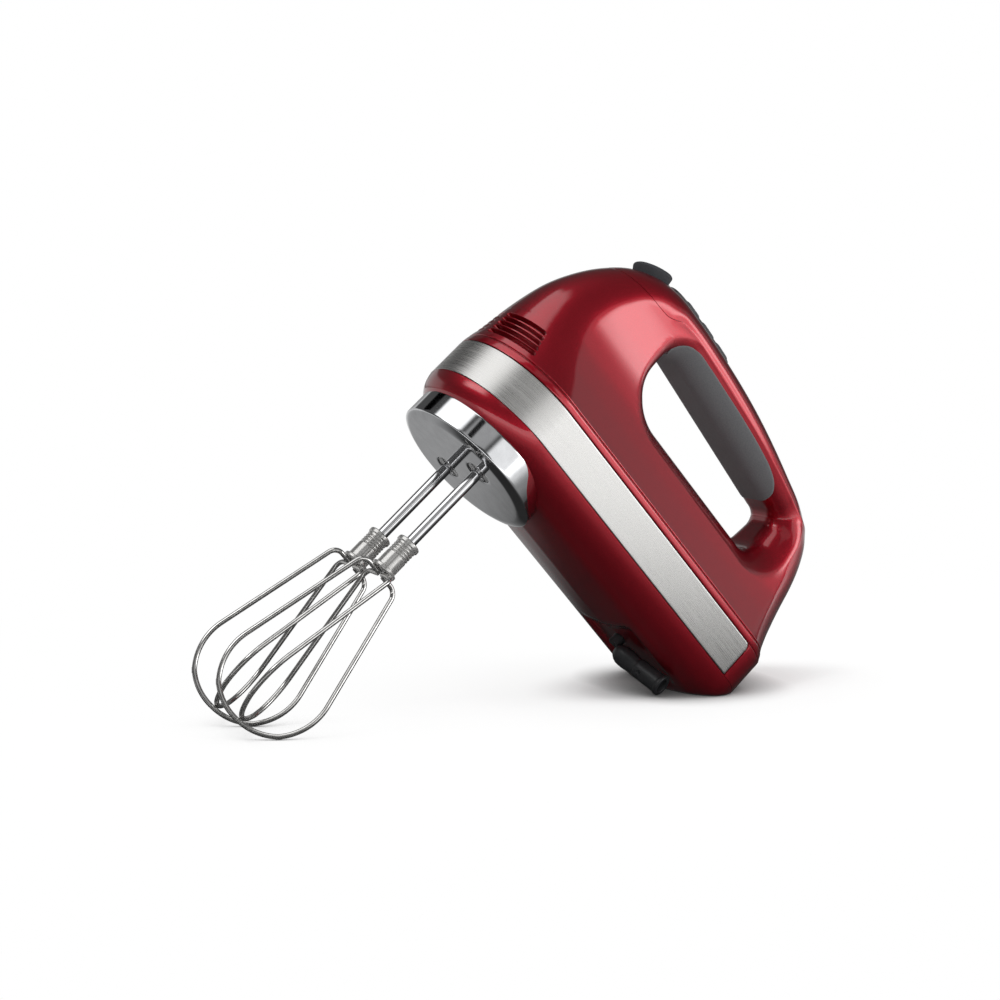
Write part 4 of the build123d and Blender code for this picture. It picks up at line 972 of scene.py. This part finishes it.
def floorPaper():
    # white to the camera away from the heel, so that only a contact shadow is left, cast by the lamps and partly
    #     # painted; mirrors see a painted glow that is darker near by
    material, tree = bareMaterial("palePaper")
    ray = addNode(tree, "LightPath").outputs
    where = addNode(tree, "TexCoord").outputs["Object"]
    aside = addNode(tree, "SeparateXYZ", inputs={"Vector": where}).outputs["Y"]
    plain = rampByDistance(
        tree, where, (0.01, 0), 1.6, [(0, 0.05), (0.045, 0.22), (0.1, 0.82), (0.22, 0.96), (0.6, 1.0)], 0.6)
    # painted reflection: in mirrors the floor glows dimmer near the mixer and brighter far out, up to 1.9
    paintedReflectionLevel = rampByDistance(
        tree, where, (-0.12, 0), 1.0, [(0.12, 0.07), (0.28, 0.3), (0.5, 0.95), (0.8, 1.9)], 1.0)
    paintedReflectionLevel = mathNode(tree, "MULTIPLY", paintedReflectionLevel, rangeNode(tree, aside, 0.0, -0.16, 0.4, 1.0))
    paintedReflectionLevel = mathNode(tree, "MAXIMUM", paintedReflectionLevel, rangeNode(tree, aside, 0.05, 0.24, 0.0, 0.36))
    # painted contact shadow: ambient occlusion darkens the floor towards #2a2a2a in the gap under the heel and the
    # wires, and takes the white glow away there
    paintedShadeAo = addNode(tree, "AmbientOcclusion", {"samples": 8}, {"Distance": 0.024}).outputs["AO"]
    paintedShadowColour = addNode(tree, "Mix", {"data_type": "RGBA"}, {
        "Factor": paintedShadeAo, "A": linear("#2a2a2a"), "B": white})
    level = addNode(tree, "Mix", {"data_type": "FLOAT"}, {
        "Factor": ray["Is Glossy Ray"], "A": 1.0, "B": paintedReflectionLevel})
    matt = addNode(tree, "BsdfDiffuse", inputs={"Color": paintedShadowColour.outputs["Result"]})
    glow = addNode(tree, "Emission", inputs={"Color": white, "Strength": level.outputs["Result"]})
    seen = mathNode(tree, "MULTIPLY", mathNode(tree, "MULTIPLY", plain, paintedShadeAo), ray["Is Camera Ray"])
    blend = addNode(tree, "MixShader", inputs={
        0: mathNode(tree, "MAXIMUM", seen, ray["Is Glossy Ray"]), 1: matt.outputs[0], 2: glow.outputs[0]})
    addNode(tree, "OutputMaterial", inputs={"Surface": blend.outputs[0]})
    return material


floorMesh.materials.append(floorPaper())

# ------ world, lamps and painted reflection cards ------
world = bpy.data.worlds.new("studio")
world.use_nodes = True
scene.world = world
tree = world.node_tree
tree.nodes.clear()
ray = addNode(tree, "LightPath").outputs
soft = addNode(tree, "Background", inputs={"Color": white, "Strength": 0.55})
clear = addNode(tree, "Background", inputs={
    "Color": white, "Strength": rangeNode(tree, ray["Is Glossy Ray"], 0.0, 1.0, 1.0, 0.08, "LINEAR")})
blend = addNode(tree, "MixShader", inputs={
    0: mathNode(tree, "MAXIMUM", ray["Is Camera Ray"], ray["Is Glossy Ray"]),
    1: soft.outputs[0], 2: clear.outputs[0]})
addNode(tree, "OutputWorld", inputs={"Surface": blend.outputs[0]})


def paintedReflectionCard(name, azimuthDeg, elevationDeg, distance, size, strength, edge, upright=True):
    # a glowing or black card that only reflections see, a painted reflection that lights nothing; its light fades
    # out over its outer share
    away = Vector(directionFrom(azimuthDeg, elevationDeg))
    side = Vector((0, 0, 1)).cross(away).normalized() if upright else Vector((0, 1, 0))
    place = Matrix([(*row, 0) for row in zip(side, away.cross(side), away)] + [(0, 0, 0, 1)])
    place = Matrix.Translation(Vector(bodyMiddle) + away * distance) @ place
    w, h = size[0] / 2, size[1] / 2
    corners = [place @ Vector(v) for v in ((-w, -h, 0), (w, -h, 0), (w, h, 0), (-w, h, 0))]
    mesh = bpy.data.meshes.new(name)
    mesh.from_pydata(corners, [], [(0, 1, 2, 3)])
    mesh.uv_layers.new(name="card")
    mesh.uv_layers["card"].data.foreach_set("uv", [-1, -1, 1, -1, 1, 1, -1, 1])
    material, tree = bareMaterial(name)
    where = addNode(tree, "UVMap", {"uv_map": "card"})
    parts = addNode(tree, "SeparateXYZ", inputs={"Vector": where.outputs["UV"]})
    fades = [rangeNode(tree, mathNode(tree, "ABSOLUTE", parts.outputs[axis]), 1.0, 1.0 - edge, 0.0, 1.0)
             for axis in ("X", "Y")]
    glow = addNode(tree, "Emission", inputs={"Color": white, "Strength": strength})
    none = addNode(tree, "BsdfTransparent")
    blend = addNode(tree, "MixShader", inputs={
        0: mathNode(tree, "MULTIPLY", *fades), 1: none.outputs[0], 2: glow.outputs[0]})
    addNode(tree, "OutputMaterial", inputs={"Surface": blend.outputs[0]})
    mesh.materials.append(material)
    card = addObject(name, mesh)
    card.visible_camera = card.visible_diffuse = card.visible_shadow = card.visible_transmission = False


def softLamp(name, azimuthDeg, elevationDeg, distance, size, power):
    # a rectangular area lamp that faces the mixer and stays out of its reflections
    lamp = bpy.data.lights.new(name, "AREA")
    lamp.shape = "RECTANGLE"
    lamp.size, lamp.size_y = size
    lamp.energy = power
    holder = addObject(name, lamp)
    away = Vector(directionFrom(azimuthDeg, elevationDeg))
    holder.location = Vector(bodyMiddle) + away * distance
    holder.rotation_euler = away.to_track_quat("Z", "Y").to_euler()
    holder.visible_glossy = False


# name, azimuth, elevation, distance, size and power
for lampRow in (("keyLamp", -50, 45, 1.5, (0.55, 0.8), 9), ("topLamp", 110, 66, 1.5, (0.8, 0.6), 9),
                ("frontLamp", -12, 4, 2.2, (1.3, 0.5), 7)):
    softLamp(*lampRow)
# name, azimuth, elevation, distance, size, strength and share of the card over which it fades
for cardRow in (
        ("topCard", 92, 74, 2.2, (2.1, 1.9), 1.6, 0.25, False),
        ("crownCard", 92, 88, 2.0, (0.9, 0.9), 1.6, 0.6, False),
        ("frontCard", -14, 10, 2.6, (1.75, 1.6), 1.15, 0.35),
        ("sideCard", -62, 12, 2.6, (3.4, 1.2), 0.5, 0.35),
        ("hotCard", -44, 8, 2.3, (1.9, 0.8), 5.5, 0.8),
        ("noseCard", 84, 45, 1.9, (1.5, 0.6), 4.0, 0.7),
        ("fillCard", 16, 42, 2.4, (2.0, 1.3), 0.42, 0.3),
        ("rearCard", 165, 11, 2.6, (3.2, 1.1), 0.6, 0.4),
        ("behindCard", -150, 13, 2.6, (2.6, 1.2), 0.35, 0.4),
        ("slimFlag", 28, 52, 1.6, (0.16, 0.5), 0.0, 0.1),
        ("backFlag", 164, 45, 1.6, (0.5, 0.4), 0.0, 0.1)):
    paintedReflectionCard(*cardRow)
print("stage set")
